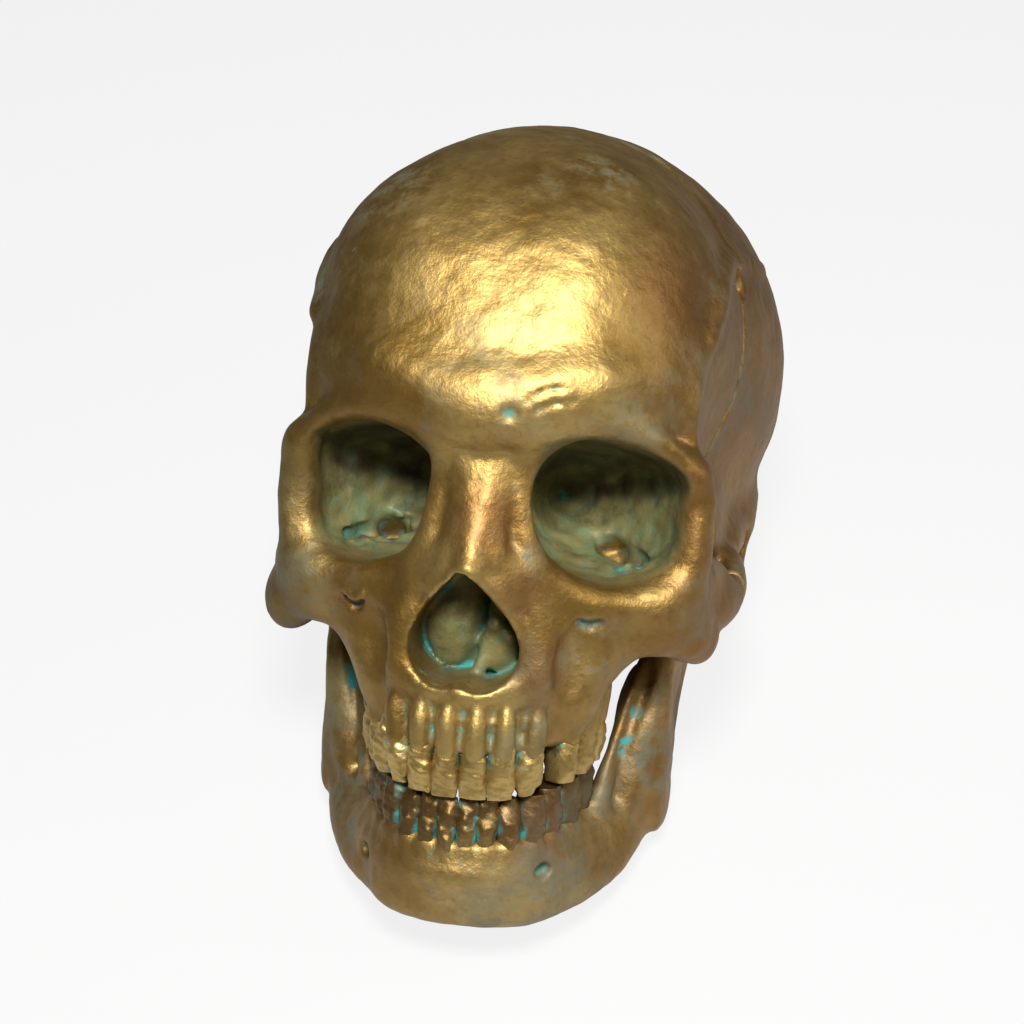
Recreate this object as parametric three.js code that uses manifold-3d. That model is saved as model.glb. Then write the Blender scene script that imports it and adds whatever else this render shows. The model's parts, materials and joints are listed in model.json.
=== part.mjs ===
import * as THREE from 'three';
import { mergeVertices } from 'three/addons/utils/BufferGeometryUtils.js';
import Module from 'manifold-3d';

// A life-size skull ornament: two cast shells glued at a seam over the crown, a lower jaw that
// hangs on two springs, and teeth that are set into both jaws one by one.
// Millimetres. The pieces are modelled upright: the origin lies between the ear holes, +X is the
// skull's left, -Y its front and +Z its crown. The whole group is then tilted back onto its rest.

// Braincase
const CASE_WIDTH = 137;
const CASE_BACK = 90;
const CASE_TOP = 113;
const FOREHEAD_FRONT = 90;
const FOREHEAD_WIDTH = 110;
const SHELL_WALL = 5;
const NECK_HOLE_RADIUS = 15;
const EAR_HOLE_RADIUS = 4.5;

// Seam between the two shells, seen from the side
const SEAM_CROWN_Y = -8;
const SEAM_SIDE_Y = -38;
const SEAM_BEND_Z = 34;
const SEAM_GAP = 0.3;
const LAP_LENGTH = 5;
const LAP_WALL = 2;

// Eye sockets and nose
const ORBIT_SPACING = 60.6;
const ORBIT_WIDTH = 40;
const ORBIT_HEIGHT = 35.6;
const ORBIT_DEPTH = 43;
const ORBIT_FRONT = 80.5;
const ORBIT_LEVEL = 17.5;
const ORBIT_ROLL_DEG = 17;
const RIM_RADIUS = 4.2;
const NOSE_WIDTH = 27;
const NOSE_TOP = 4;
const NOSE_FLOOR = -26;
const NOSE_BACK = 72;

// Cheek arches
const CHEEK_WIDTH = 126;
const ARCH_THICKNESS = 8;
const ARCH_HEIGHT = 12;
const ARCH_CLEAR = 2.2;

// Bite and teeth: the levels are at the front teeth, and climb to the back of the row
const BITE_LEVEL = -55;
const BITE_RISE = 4.5;
const LOWER_GUM_RISE = 2;
const BITE_GAP = 0.5;
const UPPER_CROWN = 10.5;
const LOWER_CROWN = 10;
const ROOT_LENGTH = 8;
const TOOTH_GAP = 0.4;
const SOCKET_PLAY = 0.3;
const UPPER_ARCH = { half: 26.5, front: 92.5, back: 45, square: 2.4 };
const LOWER_ARCH = { half: 25, front: 90, back: 45, square: 2.35 };
const GUM_RADIUS = 5.8;

// Lower jaw and its hinge
const HINGE_SPACING = 100;
const HINGE_Y = -12;
const HINGE_Z = -5;
const CONDYLE_LENGTH = 19;
const CONDYLE_RADIUS = 4.7;
const HINGE_PLAY = 0.35;
const JAW_OPENING_DEG = 18;
const JAW_ANGLE_WIDTH = 88;
const JAW_BASE = -88.5;
const CHIN_FRONT = 84;
const JAW_WALL = 6;
const RAMUS_WALL = 4;
const NECK_WALL = 4;

// Springs and their screws
const SPRING_WIRE = 1;
const SPRING_TURNS = 5;
const SPRING_LEAD = 4;
const SPRING_Y = -33;
const SPRING_TOP_Z = -6;
const SPRING_FOOT_Z = -24;
const SCREW_RADIUS = 1.5;
const SCREW_HEAD_RADIUS = 3;
const SCREW_HEAD_HEIGHT = 2;
const SCREW_GRIP = 4;
const SCREW_PLAY = 0.3;
const SPRING_CLEAR = 0.6;

// The two angles of the jaw and the back of the head are filed flat where the skull rests
const REST_FLAT = 0.8;

const FAR = 400;
const MERGE = 1e-4;

const wasm = await Module();
wasm.setup();

// Solids and booleans

function turnedOut(geometry) {
  const index = geometry.index.array;
  const p = geometry.attributes.position;
  const a = new THREE.Vector3();
  const b = new THREE.Vector3();
  const c = new THREE.Vector3();
  let volume = 0;
  for (let i = 0; i < index.length; i += 3) {
    a.fromBufferAttribute(p, index[i]);
    b.fromBufferAttribute(p, index[i + 1]);
    c.fromBufferAttribute(p, index[i + 2]);
    volume += a.dot(b.cross(c));
  }
  if (volume < 0) {
    for (let i = 0; i < index.length; i += 3) {
      [index[i], index[i + 1]] = [index[i + 1], index[i]];
    }
  }
  return geometry;
}

function solid(geometry) {
  const bare = geometry.clone();
  bare.deleteAttribute('normal');
  bare.deleteAttribute('uv');
  const merged = turnedOut(mergeVertices(bare, MERGE));
  return new wasm.Manifold(new wasm.Mesh({
    numProp: 3,
    vertProperties: new Float32Array(merged.attributes.position.array),
    triVerts: new Uint32Array(merged.index.array),
  }));
}

function geometryOf(body) {
  const mesh = body.getMesh();
  const geometry = new THREE.BufferGeometry();
  geometry.setAttribute('position', new THREE.BufferAttribute(mesh.vertProperties, 3));
  geometry.setIndex(new THREE.BufferAttribute(mesh.triVerts, 1));
  geometry.computeVertexNormals();
  return geometry;
}

function ellipsoid(centre, radii, around = 16, rings = 10) {
  const ball = new THREE.SphereGeometry(1, around, rings);
  return solid(ball.scale(...radii).translate(...centre));
}

// A side view, as points of y and z, drawn out along X
function sideCut(points, fromX, toX) {
  const outline = new THREE.Shape(points.map(([y, z]) => new THREE.Vector2(y, z)));
  const slab = new THREE.ExtrudeGeometry(outline, { depth: toX - fromX, bevelEnabled: false });
  const upright = new THREE.Matrix4().set(0, 0, 1, fromX, 1, 0, 0, 0, 0, 1, 0, 0, 0, 0, 0, 1);
  return solid(slab.applyMatrix4(upright));
}

function bothSides(make) {
  return make(1).add(make(-1));
}

// A closed tube of rings. place gets how far along it is, 0 to 1, and the ring's two unit
// coordinates, and returns the point
function loft(sides, rings, place) {
  const tube = new THREE.CylinderGeometry(1, 1, 1, sides, rings);
  const p = tube.attributes.position;
  for (let i = 0; i < p.count; i += 1) {
    const point = place(0.5 - p.getY(i), p.getX(i), p.getZ(i));
    p.setXYZ(i, point.x, point.y, point.z);
  }
  return tube;
}

function squared(value, power) {
  return Math.sign(value) * Math.abs(value) ** power;
}

// Clay: rounded lumps that run into each other, the same on both sides of the middle

class Clay {
  constructor() {
    this.lumps = [];
  }

  egg(centre, radii, blend, { turn = [0, 0, 0], carve = false } = {}) {
    const angles = turn.map(THREE.MathUtils.degToRad);
    const frame = new THREE.Matrix4().makeRotationFromEuler(new THREE.Euler(...angles, 'ZYX'));
    const back = frame.invert();
    const p = new THREE.Vector3();
    const distance = (x, y, z) => {
      p.set(x - centre[0], y - centre[1], z - centre[2]).applyMatrix4(back);
      const inside = Math.hypot(p.x / radii[0], p.y / radii[1], p.z / radii[2]);
      const slope = Math.hypot(p.x / radii[0] ** 2, p.y / radii[1] ** 2, p.z / radii[2] ** 2);
      return inside * (inside - 1) / (slope + 1e-6);
    };
    this.lumps.push({ distance, blend, carve });
  }

  rope(points, fromRadius, toRadius, blend) {
    const path = new THREE.CatmullRomCurve3(points.map((point) => new THREE.Vector3(...point)));
    const knots = path.getPoints(points.length * 3);
    const last = knots.length - 1;
    const span = new THREE.Vector3();
    const p = new THREE.Vector3();
    const distance = (x, y, z) => {
      let nearest = FAR;
      for (let i = 0; i < last; i += 1) {
        span.subVectors(knots[i + 1], knots[i]);
        p.set(x, y, z).sub(knots[i]);
        const share = THREE.MathUtils.clamp(p.dot(span) / span.lengthSq(), 0, 1);
        const radius = THREE.MathUtils.lerp(fromRadius, toRadius, (i + share) / last);
        nearest = Math.min(nearest, p.addScaledVector(span, -share).length() - radius);
      }
      return nearest;
    };
    this.lumps.push({ distance, blend, carve: false });
  }

  at(x, y, z) {
    let depth = FAR;
    for (const { distance, blend, carve } of this.lumps) {
      const side = carve ? -1 : 1;
      const lump = side * distance(Math.abs(x), y, z);
      const old = side > 0 ? depth : -depth;
      const other = side > 0 ? lump : -lump;
      const mix = THREE.MathUtils.clamp(0.5 + 0.5 * (other - old) / blend, 0, 1);
      depth = side * (THREE.MathUtils.lerp(other, old, mix) - blend * mix * (1 - mix));
    }
    return depth;
  }
}

// A ball whose points are drawn in until they meet the clay, with rings crowded to the front
function wrap(clay, centre, grow, around, rings, crowding) {
  const ball = new THREE.SphereGeometry(1, around, rings);
  const p = ball.attributes.position;
  const way = new THREE.Vector3();
  for (let i = 0; i < p.count; i += 1) {
    way.fromBufferAttribute(p, i);
    const spread = Math.hypot(way.x, way.z);
    const angle = Math.PI * (Math.acos(THREE.MathUtils.clamp(-way.y, -1, 1)) / Math.PI) ** crowding;
    if (spread > MERGE) {
      way.set(way.x / spread * Math.sin(angle), -Math.cos(angle), way.z / spread * Math.sin(angle));
    }
    let reach = 2 * CASE_TOP;
    for (let gap = FAR; gap > 0.01 && reach > 1;) {
      gap = clay.at(centre.x + way.x * reach, centre.y + way.y * reach, centre.z + way.z * reach) - grow;
      reach -= Math.max(gap * 0.55, 0.01);
    }
    p.setXYZ(i, centre.x + way.x * reach, centre.y + way.y * reach, centre.z + way.z * reach);
  }
  return solid(ball);
}

// Landmarks

const ORBIT = new THREE.Vector3(ORBIT_SPACING / 2, -ORBIT_FRONT, ORBIT_LEVEL);
const ORBIT_TOP = ORBIT_LEVEL + ORBIT_HEIGHT / 2;
const ORBIT_FOOT = ORBIT_LEVEL - ORBIT_HEIGHT / 2;
const ORBIT_SIDE = ORBIT.x + ORBIT_WIDTH / 2;
const UPPER_GUM = BITE_LEVEL + BITE_GAP / 2 + UPPER_CROWN;
const LOWER_GUM = BITE_LEVEL - BITE_GAP / 2 - LOWER_CROWN;
const HINGE_X = HINGE_SPACING / 2;
const TEMPLE_X = CASE_WIDTH / 2 - 9;
const HOOK_RADIUS = SCREW_RADIUS + SPRING_CLEAR + SPRING_WIRE / 2;
const SPRING_OFFSET = SPRING_CLEAR + SPRING_WIRE / 2 + HOOK_RADIUS;
const SPRING_ROOM = SPRING_OFFSET + SPRING_WIRE / 2 + SPRING_CLEAR + SCREW_HEAD_HEIGHT;

function archPoint(arch, x) {
  const share = Math.min(Math.abs(x) / arch.half, 1);
  const depth = (1 - share ** arch.square) ** (1 / arch.square);
  return [x, -arch.back - (arch.front - arch.back) * depth];
}

// How far a level has climbed at y, on its way to the back of the row
function climb(arch, y, rise) {
  return rise * (arch.front + y) / (arch.front - arch.back);
}

// The tooth row, walked out from the middle in equal steps of length
function archCurve(arch) {
  const steps = 24;
  const points = [];
  for (let i = 0; i <= steps; i += 1) {
    const x = arch.half * Math.sin(i / steps * Math.PI / 2);
    points.push(new THREE.Vector3(...archPoint(arch, x), 0));
  }
  return new THREE.CatmullRomCurve3(points);
}

function gumPoint(arch, share, level, rise) {
  const [x, y] = archPoint(arch, arch.half * share);
  return [x, y, level + climb(arch, y, rise)];
}

function gumRope(arch, level, rise) {
  return [0, 0.35, 0.66, 0.87, 0.98, 1].map((share) => gumPoint(arch, share, level, rise));
}

// Cranium

function braincaseClay(clay) {
  clay.egg([0, CASE_BACK - 71, CASE_TOP - 67], [CASE_WIDTH / 2, 71, 67], 10);
  clay.egg([0, 66 - FOREHEAD_FRONT, CASE_TOP - 61], [FOREHEAD_WIDTH / 2, 66, 59], 18);
  clay.egg([FOREHEAD_WIDTH / 5, 41 - FOREHEAD_FRONT, CASE_TOP - 51], [25, 33, 31], 20);
  clay.egg([0, CASE_BACK - 48, 24], [54, 49, 48], 22);
  clay.egg([0, 8, 6], [54, 52, 30], 18);
}

function templeClay(clay) {
  clay.egg([0, ORBIT.y + 10.5, ORBIT_TOP + 12], [44, 21, 17], 14);
  clay.egg([ORBIT_SIDE + 21.5, -55, 27], [20.5, 30, 31], 8, { carve: true });
  clay.egg([ORBIT_SIDE + 29.5, -40, 50], [19, 34, 32], 8, { carve: true });
}

function orbitRimClay(clay) {
  clay.rope([
    [0, ORBIT.y - 9.5, ORBIT_TOP + 2],
    [ORBIT.x - 18, ORBIT.y - 9, ORBIT_TOP + 3.5],
    [ORBIT.x - 4, ORBIT.y - 6, ORBIT_TOP + 4.5],
    [ORBIT.x + 9, ORBIT.y - 1, ORBIT_TOP + 1],
    [ORBIT_SIDE - 2, ORBIT.y + 5.5, ORBIT_TOP - 5.5],
  ], RIM_RADIUS + 0.8, RIM_RADIUS, 8);
  clay.egg([0, ORBIT.y - 7.5, ORBIT_TOP + 5], [13, 6.5, 9], 9);
  clay.rope([
    [ORBIT_SIDE - 2, ORBIT.y + 6.5, ORBIT_TOP - 6],
    [ORBIT_SIDE + 0.5, ORBIT.y + 9.5, ORBIT_LEVEL + 2.5],
    [ORBIT_SIDE, ORBIT.y + 11, ORBIT_LEVEL - 9.5],
    [ORBIT_SIDE - 4, ORBIT.y + 8.5, ORBIT_FOOT - 5],
  ], RIM_RADIUS, RIM_RADIUS + 1.5, 9);
  clay.rope([
    [ORBIT.x - 17, ORBIT.y - 5.5, ORBIT_FOOT + 2.3],
    [ORBIT.x - 8, ORBIT.y - 2.5, ORBIT_FOOT - 4.7],
    [ORBIT.x + 3, ORBIT.y + 1, ORBIT_FOOT - 6.2],
    [ORBIT_SIDE - 6, ORBIT.y + 6.5, ORBIT_FOOT - 4.7],
    [ORBIT_SIDE + 0.5, ORBIT.y + 14.5, ORBIT_FOOT - 2.7],
  ], RIM_RADIUS, RIM_RADIUS + 2, 6);
  clay.egg([ORBIT_SIDE - 8, -58.5, ORBIT_LEVEL - 5.5], [5.5, 19, 22], 6, { turn: [0, 0, 33] });
}

// The face is filled over its openings first, so that they are cut with clean edges
function fillerClay(clay) {
  const plug = [ORBIT_WIDTH / 2 + 3, 13, ORBIT_HEIGHT / 2 + 5];
  clay.egg([ORBIT.x - 1, ORBIT.y + 6, ORBIT.z + 2], plug, 8, { turn: [0, 0, 24] });
  clay.egg([0, ORBIT.y - 4, (NOSE_TOP + NOSE_FLOOR) / 2], [NOSE_WIDTH / 2 + 2, 10, 18], 5);
}

function noseClay(clay) {
  clay.rope([
    [0, ORBIT.y - 4.5, NOSE_TOP + 25],
    [0, ORBIT.y - 10.5, NOSE_TOP + 19],
    [0, ORBIT.y - 14.5, NOSE_TOP + 10],
    [0, ORBIT.y - 18.5, NOSE_TOP + 2],
  ], 6.5, 5.2, 5);
  clay.rope([
    [8, ORBIT.y - 4.5, NOSE_TOP + 21],
    [9.5, ORBIT.y - 8, NOSE_TOP + 8],
    [NOSE_WIDTH / 2 - 1, ORBIT.y - 9.5, NOSE_TOP - 4],
    [NOSE_WIDTH / 2 + 3, ORBIT.y - 8.5, NOSE_TOP - 16],
    [NOSE_WIDTH / 2 + 3, ORBIT.y - 7.5, NOSE_FLOOR + 2],
  ], 4.2, 5.4, 6);
}

function upperJawClay(clay) {
  clay.egg([0, -66, -10], [30, 21, 22], 10);
  clay.egg([20, -72, -22], [13, 13, 22], 10);
  clay.egg([ORBIT_SIDE - 5.5, ORBIT.y + 11, ORBIT_FOOT - 11], [12, 8, 12], 6, { turn: [0, 0, 25] });
  for (const rise of [GUM_RADIUS, GUM_RADIUS * 2, GUM_RADIUS * 3]) {
    clay.rope(gumRope(UPPER_ARCH, UPPER_GUM + rise, BITE_RISE), GUM_RADIUS, GUM_RADIUS, 5);
  }
  clay.egg([0, -66, UPPER_GUM + 16], [26, 28, 8], 6);
  clay.rope([
    [ORBIT_SIDE - 4, ORBIT.y + 13, ORBIT_FOOT - 17],
    [39, -66, -27],
    [UPPER_ARCH.half + 4, -64, UPPER_GUM + 7],
  ], 5, 5, 7);
}

function baseClay(clay) {
  clay.rope([[TEMPLE_X - 1.5, -10, 2], [TEMPLE_X + 1.5, 8, 4], [TEMPLE_X + 0.5, 22, 10]], 5, 4, 8);
  clay.egg([HINGE_X, HINGE_Y - 10, HINGE_Z + 2], [11, 6, 5], 5);
  clay.egg([HINGE_X - 10, 4, -8], [20, 9, 12], 8);
  clay.egg([0, -22, -8], [22, 26, 16], 10);
}

function craniumClay() {
  const clay = new Clay();
  braincaseClay(clay);
  templeClay(clay);
  orbitRimClay(clay);
  noseClay(clay);
  fillerClay(clay);
  upperJawClay(clay);
  baseClay(clay);
  return clay;
}

// A socket narrows to the back and to the middle; grow thickens the bone kept around it
function orbitSolid(side, grow) {
  const apex = new THREE.Vector3(14, ORBIT.y + 38.5, ORBIT.z - 2.5);
  const axis = new THREE.Vector3().subVectors(apex, ORBIT).normalize();
  const across = new THREE.Vector3(0, 0, 1).cross(axis.clone().negate()).normalize();
  const up = axis.clone().negate().cross(across);
  const roll = THREE.MathUtils.degToRad(-ORBIT_ROLL_DEG);
  const wide = across.clone().multiplyScalar(Math.cos(roll)).addScaledVector(up, Math.sin(roll));
  const tall = up.clone().multiplyScalar(Math.cos(roll)).addScaledVector(across, -Math.sin(roll));
  const mouth = 0.45;
  return solid(loft(20, 7, (along, u, v) => {
    const deep = along * (1 + mouth) - mouth;
    const size = deep < 0 ? 1 - 0.1 * deep : 1 + 0.3 * deep - 1.1 * deep * deep;
    const reach = new THREE.Vector3().copy(ORBIT).addScaledVector(axis, deep * (ORBIT_DEPTH + grow));
    reach.addScaledVector(wide, squared(u, 0.72) * (ORBIT_WIDTH / 2 * size + grow));
    reach.addScaledVector(tall, squared(v, 0.72) * (ORBIT_HEIGHT / 2 * size + grow));
    reach.x *= side;
    return reach;
  }));
}

function noseOutline() {
  const half = NOSE_WIDTH / 2;
  const height = NOSE_TOP - NOSE_FLOOR;
  const shoulder = NOSE_TOP - height * 0.35;
  const widest = NOSE_FLOOR + height * 0.33;
  const spine = 2;
  const outline = new THREE.Shape();
  outline.moveTo(0, NOSE_TOP);
  outline.bezierCurveTo(half * 0.35, NOSE_TOP, half * 0.95, shoulder, half, widest);
  outline.bezierCurveTo(half, NOSE_FLOOR, half * 0.3, NOSE_FLOOR, 0, NOSE_FLOOR + spine);
  outline.bezierCurveTo(-half * 0.3, NOSE_FLOOR, -half, NOSE_FLOOR, -half, widest);
  outline.bezierCurveTo(-half * 0.95, shoulder, -half * 0.35, NOSE_TOP, 0, NOSE_TOP);
  return outline;
}

function noseSolid() {
  const depth = FAR / 2 - NOSE_BACK;
  const cut = { depth, bevelEnabled: false, curveSegments: 6 };
  const hole = new THREE.ExtrudeGeometry(noseOutline(), cut);
  return solid(hole.rotateX(Math.PI / 2).translate(0, -NOSE_BACK, 0));
}

function cheekArch(side) {
  const half = CHEEK_WIDTH / 2;
  const path = new THREE.CatmullRomCurve3([
    new THREE.Vector3(side * (ORBIT_SIDE - 2), ORBIT.y + 13.5, ORBIT_FOOT - 7),
    new THREE.Vector3(side * (half - 5), -57, -9.5),
    new THREE.Vector3(side * (half - 0.5), -44, -9),
    new THREE.Vector3(side * half, -30, -6),
    new THREE.Vector3(side * (half - 2), -16, -2),
    new THREE.Vector3(side * (TEMPLE_X - 2.5), -3, 2),
  ]);
  const section = new THREE.Shape();
  section.absellipse(0, 0, ARCH_HEIGHT / 2, ARCH_THICKNESS / 2, 0, 2 * Math.PI);
  const bar = { steps: 10, curveSegments: 4, bevelEnabled: false, extrudePath: path };
  return solid(new THREE.ExtrudeGeometry(section, bar));
}

function mastoid(side) {
  const lean = THREE.MathUtils.degToRad(12);
  const knob = new THREE.SphereGeometry(1, 12, 8).scale(9.5, 12.5, 18).rotateX(lean);
  return solid(knob.translate(side * (TEMPLE_X - 6.5), 15, -13));
}

// The head of the jaw is round about the hinge line, so it turns in its hollow
function condyle(side, play) {
  const half = CONDYLE_LENGTH / 2 + play;
  const radius = CONDYLE_RADIUS + play;
  const profile = [[0, -half], [radius - 1.2, -half + 0.6], [radius, -half / 2], [radius, half / 2]];
  profile.push([radius - 1.2, half - 0.6], [0, half]);
  const barrel = new THREE.LatheGeometry(profile.map(([r, y]) => new THREE.Vector2(r, y)), 16);
  return solid(barrel.rotateZ(Math.PI / 2).translate(side * HINGE_X, HINGE_Y, HINGE_Z));
}

// Room under the temple bone for the jaw's neck, which swings back as the jaw opens
function neckRoom(side) {
  const front = HINGE_Y - CONDYLE_RADIUS - HINGE_PLAY;
  const back = HINGE_Y + CONDYLE_RADIUS + HINGE_PLAY;
  const drop = 30;
  const foot = HINGE_Z - drop;
  const swing = drop * Math.tan(THREE.MathUtils.degToRad(JAW_OPENING_DEG));
  const outline = [[front, HINGE_Z], [front - 2, foot], [back + swing, foot], [back, HINGE_Z]];
  const half = CONDYLE_LENGTH / 2 + 3;
  return sideCut(outline, side * HINGE_X - half, side * HINGE_X + half);
}

function earHole(side) {
  const depth = 26;
  const tube = new THREE.CylinderGeometry(EAR_HOLE_RADIUS, EAR_HOLE_RADIUS, depth, 14);
  return solid(tube.rotateZ(Math.PI / 2).translate(side * (TEMPLE_X - 4), 2.5, -1));
}

function seamLine(shift) {
  const lean = (SEAM_CROWN_Y - SEAM_SIDE_Y) / (CASE_TOP - SEAM_BEND_Z);
  const crown = SEAM_CROWN_Y + lean * CASE_TOP;
  const side = SEAM_SIDE_Y + shift;
  return [[crown + shift, 2 * CASE_TOP], [side, SEAM_BEND_Z], [side, -FAR]];
}

function aheadOfSeam(shift) {
  return sideCut([[-FAR, 2 * CASE_TOP], ...seamLine(shift), [-FAR, -FAR]], -FAR, FAR);
}

function behindSeam(shift) {
  return sideCut([[FAR, 2 * CASE_TOP], ...seamLine(shift), [FAR, -FAR]], -FAR, FAR);
}

// Teeth: width across the row, depth through it, and how thin the biting edge is

const TEETH = [
  { name: 'central_incisor', upper: [6.8, 6.6, 0.38], lower: [4.8, 5.8, 0.4] },
  { name: 'lateral_incisor', upper: [6.8, 6.2, 0.4], lower: [5.1, 6, 0.42] },
  { name: 'canine', upper: [7.8, 7.6, 0.45], lower: [6, 7.2, 0.48] },
  { name: 'first_premolar', upper: [7, 8.6, 0.8], lower: [6.6, 7.6, 0.78] },
  { name: 'second_premolar', upper: [6.6, 8.6, 0.8], lower: [7, 8, 0.8] },
  { name: 'first_molar', upper: [10, 10.6, 0.84], lower: [10.6, 10, 0.84] },
  { name: 'second_molar', upper: [9.4, 10.4, 0.84], lower: [10, 9.8, 0.84] },
];
const LOST_TOOTH = 'upper_left_first_premolar';

// Rings from the root's tip to the biting edge: how far along, then width and depth
function toothRings([, , edge], crown) {
  const neck = ROOT_LENGTH / (ROOT_LENGTH + crown);
  return [
    [0, 0.42, 0.42],
    [neck * 0.55, 0.6, 0.66],
    [neck, 0.76, 0.86],
    [neck + (1 - neck) * 0.5, 1, 1],
    [neck + (1 - neck) * 0.86, 0.97, (1 + edge) / 2],
    [1, 0.84, edge],
  ];
}

// seat has the tooth's place on the row at gum level and the way along the row there
function toothSolid(seat, size, crown, down, play, rings) {
  const across = new THREE.Vector3(seat.along.y, -seat.along.x, 0);
  const [width, depth] = size;
  const body = loft(8, rings.length - 1, (along, u, v) => {
    const [share, wide, deep] = rings[Math.round(along * (rings.length - 1))];
    const height = share * (ROOT_LENGTH + crown + play) - ROOT_LENGTH - play;
    const point = new THREE.Vector3(seat.point.x, seat.point.y, seat.point.z + down * height);
    point.addScaledVector(seat.along, squared(u, 0.8) * ((width - TOOTH_GAP) / 2 * wide + play));
    return point.addScaledVector(across, squared(v, 0.8) * (depth / 2 * deep + play));
  });
  return solid(body);
}

// The root's room in the jaw, which opens past the gum to the crown's full width
function socketSolid(seat, size, crown, down) {
  const rings = toothRings(size, crown).slice(0, 4);
  rings.push([1, 1, 1]);
  return toothSolid(seat, size, crown, down, SOCKET_PLAY, rings);
}

function toothRow(jaw, arch, gum, gumRise, down) {
  const row = archCurve(arch);
  const length = row.getLength();
  const teeth = [];
  let walked = 0;
  for (const { name, [jaw]: size } of TEETH) {
    const share = (walked + size[0] / 2) / length;
    walked += size[0];
    const point = row.getPointAt(share);
    const along = row.getTangentAt(share).setZ(0).normalize();
    const level = gum + climb(arch, point.y, gumRise);
    const bite = BITE_LEVEL + climb(arch, point.y, BITE_RISE);
    const crown = Math.abs(bite - level) - BITE_GAP / 2;
    for (const [label, side] of [['left', 1], ['right', -1]]) {
      const seat = {
        point: new THREE.Vector3(side * point.x, point.y, level),
        along: new THREE.Vector3(side * along.x, along.y, 0),
      };
      teeth.push({
        name: `${jaw}_${label}_${name}`,
        body: toothSolid(seat, size, crown, down, 0, toothRings(size, crown)),
        socket: socketSolid(seat, size, crown, down),
      });
    }
  }
  return teeth;
}

// Lower jaw: a ribbon whose top edge carries the teeth and climbs to the hinge, and whose
// bottom edge runs back to the angle of the jaw and up behind. The stations are for one side.

function jawStations() {
  const angle = JAW_ANGLE_WIDTH / 2;
  const neck = HINGE_X - 0.5;
  const crest = CHEEK_WIDTH / 2 - ARCH_THICKNESS / 2 - ARCH_CLEAR - SPRING_ROOM - RAMUS_WALL;
  const gum = (share) => gumPoint(LOWER_ARCH, share, LOWER_GUM, LOWER_GUM_RISE);
  const backGum = LOWER_GUM + LOWER_GUM_RISE;
  const rows = [
    { top: gum(0), foot: [0, 2 - CHIN_FRONT, JAW_BASE], wall: JAW_WALL },
    { top: gum(0.3), foot: [9, 3 - CHIN_FRONT, JAW_BASE], wall: JAW_WALL },
    { top: gum(0.62), foot: [18, 7 - CHIN_FRONT, JAW_BASE + 2], wall: JAW_WALL },
    { top: gum(0.85), foot: [25.5, 14 - CHIN_FRONT, JAW_BASE + 4.5], wall: JAW_WALL },
    { top: gum(0.96), foot: [31, 22 - CHIN_FRONT, JAW_BASE + 6.5], wall: JAW_WALL },
    { top: [27, -58, backGum], foot: [34.5, 30 - CHIN_FRONT, JAW_BASE + 8], wall: JAW_WALL },
    { top: [31, -53, backGum + 4], foot: [angle - 6.5, -46, JAW_BASE + 9], wall: JAW_WALL - 0.5 },
    { top: [crest - 8.5, -48.5, -45], foot: [angle - 4.5, -39, JAW_BASE + 9.5], wall: JAW_WALL - 1.5 },
    { top: [crest - 3, -44, -24], foot: [angle - 3, -33, JAW_BASE + 10], wall: RAMUS_WALL },
    { top: [crest, -42, -4], foot: [angle - 1.5, -27, JAW_BASE + 11], wall: RAMUS_WALL },
    { top: [crest, -39.5, 1], foot: [angle - 0.5, -22.5, JAW_BASE + 13], wall: RAMUS_WALL },
    { top: [crest, -36, -3], foot: [angle, -19, JAW_BASE + 16], wall: RAMUS_WALL },
    { top: [crest, -30, -12], foot: [angle + 1, -16, JAW_BASE + 22], wall: RAMUS_WALL },
    { top: [(crest + neck) / 2, -24.5, -15], foot: [angle + 2, -13.5, JAW_BASE + 31], wall: RAMUS_WALL },
    { top: [neck - 2, -19.5, -12.5], foot: [angle + 3, -11, -47], wall: RAMUS_WALL },
    { top: [neck - 1, HINGE_Y - 4.5, HINGE_Z - 4], foot: [neck - 1.5, HINGE_Y + 2, -32], wall: NECK_WALL },
    { top: [neck, HINGE_Y - 2.5, HINGE_Z], foot: [neck - 0.5, HINGE_Y + 3, -18], wall: NECK_WALL },
    { top: [neck, HINGE_Y, HINGE_Z + 1], foot: [neck, HINGE_Y + 2.5, HINGE_Z - 7], wall: NECK_WALL },
  ];
  return rows.map(({ top, foot, wall }) => ({
    top: new THREE.Vector3(...top),
    foot: new THREE.Vector3(...foot),
    wall,
  }));
}

function jawRibbon() {
  const half = jawStations();
  const flip = ({ top, foot, wall }) => ({
    top: new THREE.Vector3(-top.x, top.y, top.z),
    foot: new THREE.Vector3(-foot.x, foot.y, foot.z),
    wall,
  });
  const rows = [...half.slice(1).reverse().map(flip), ...half];
  const edge = (key) => new THREE.CatmullRomCurve3(rows.map((row) => row[key]));
  const top = edge('top');
  const foot = edge('foot');
  const last = rows.length - 1;
  const middle = (share) => top.getPoint(share).add(foot.getPoint(share)).multiplyScalar(0.5);
  return solid(loft(12, last, (along, u, v) => {
    const tall = top.getPoint(along).sub(foot.getPoint(along)).multiplyScalar(0.5);
    const ahead = middle(Math.min(along + 0.01, 1)).sub(middle(Math.max(along - 0.01, 0)));
    const out = tall.clone().cross(ahead).normalize();
    const low = Math.floor(along * last);
    const next = Math.min(low + 1, last);
    const wall = THREE.MathUtils.lerp(rows[low].wall, rows[next].wall, along * last - low);
    const point = middle(along).addScaledVector(tall, squared(v, 0.55));
    return point.addScaledVector(out, squared(u, 0.55) * wall);
  }));
}

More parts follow.
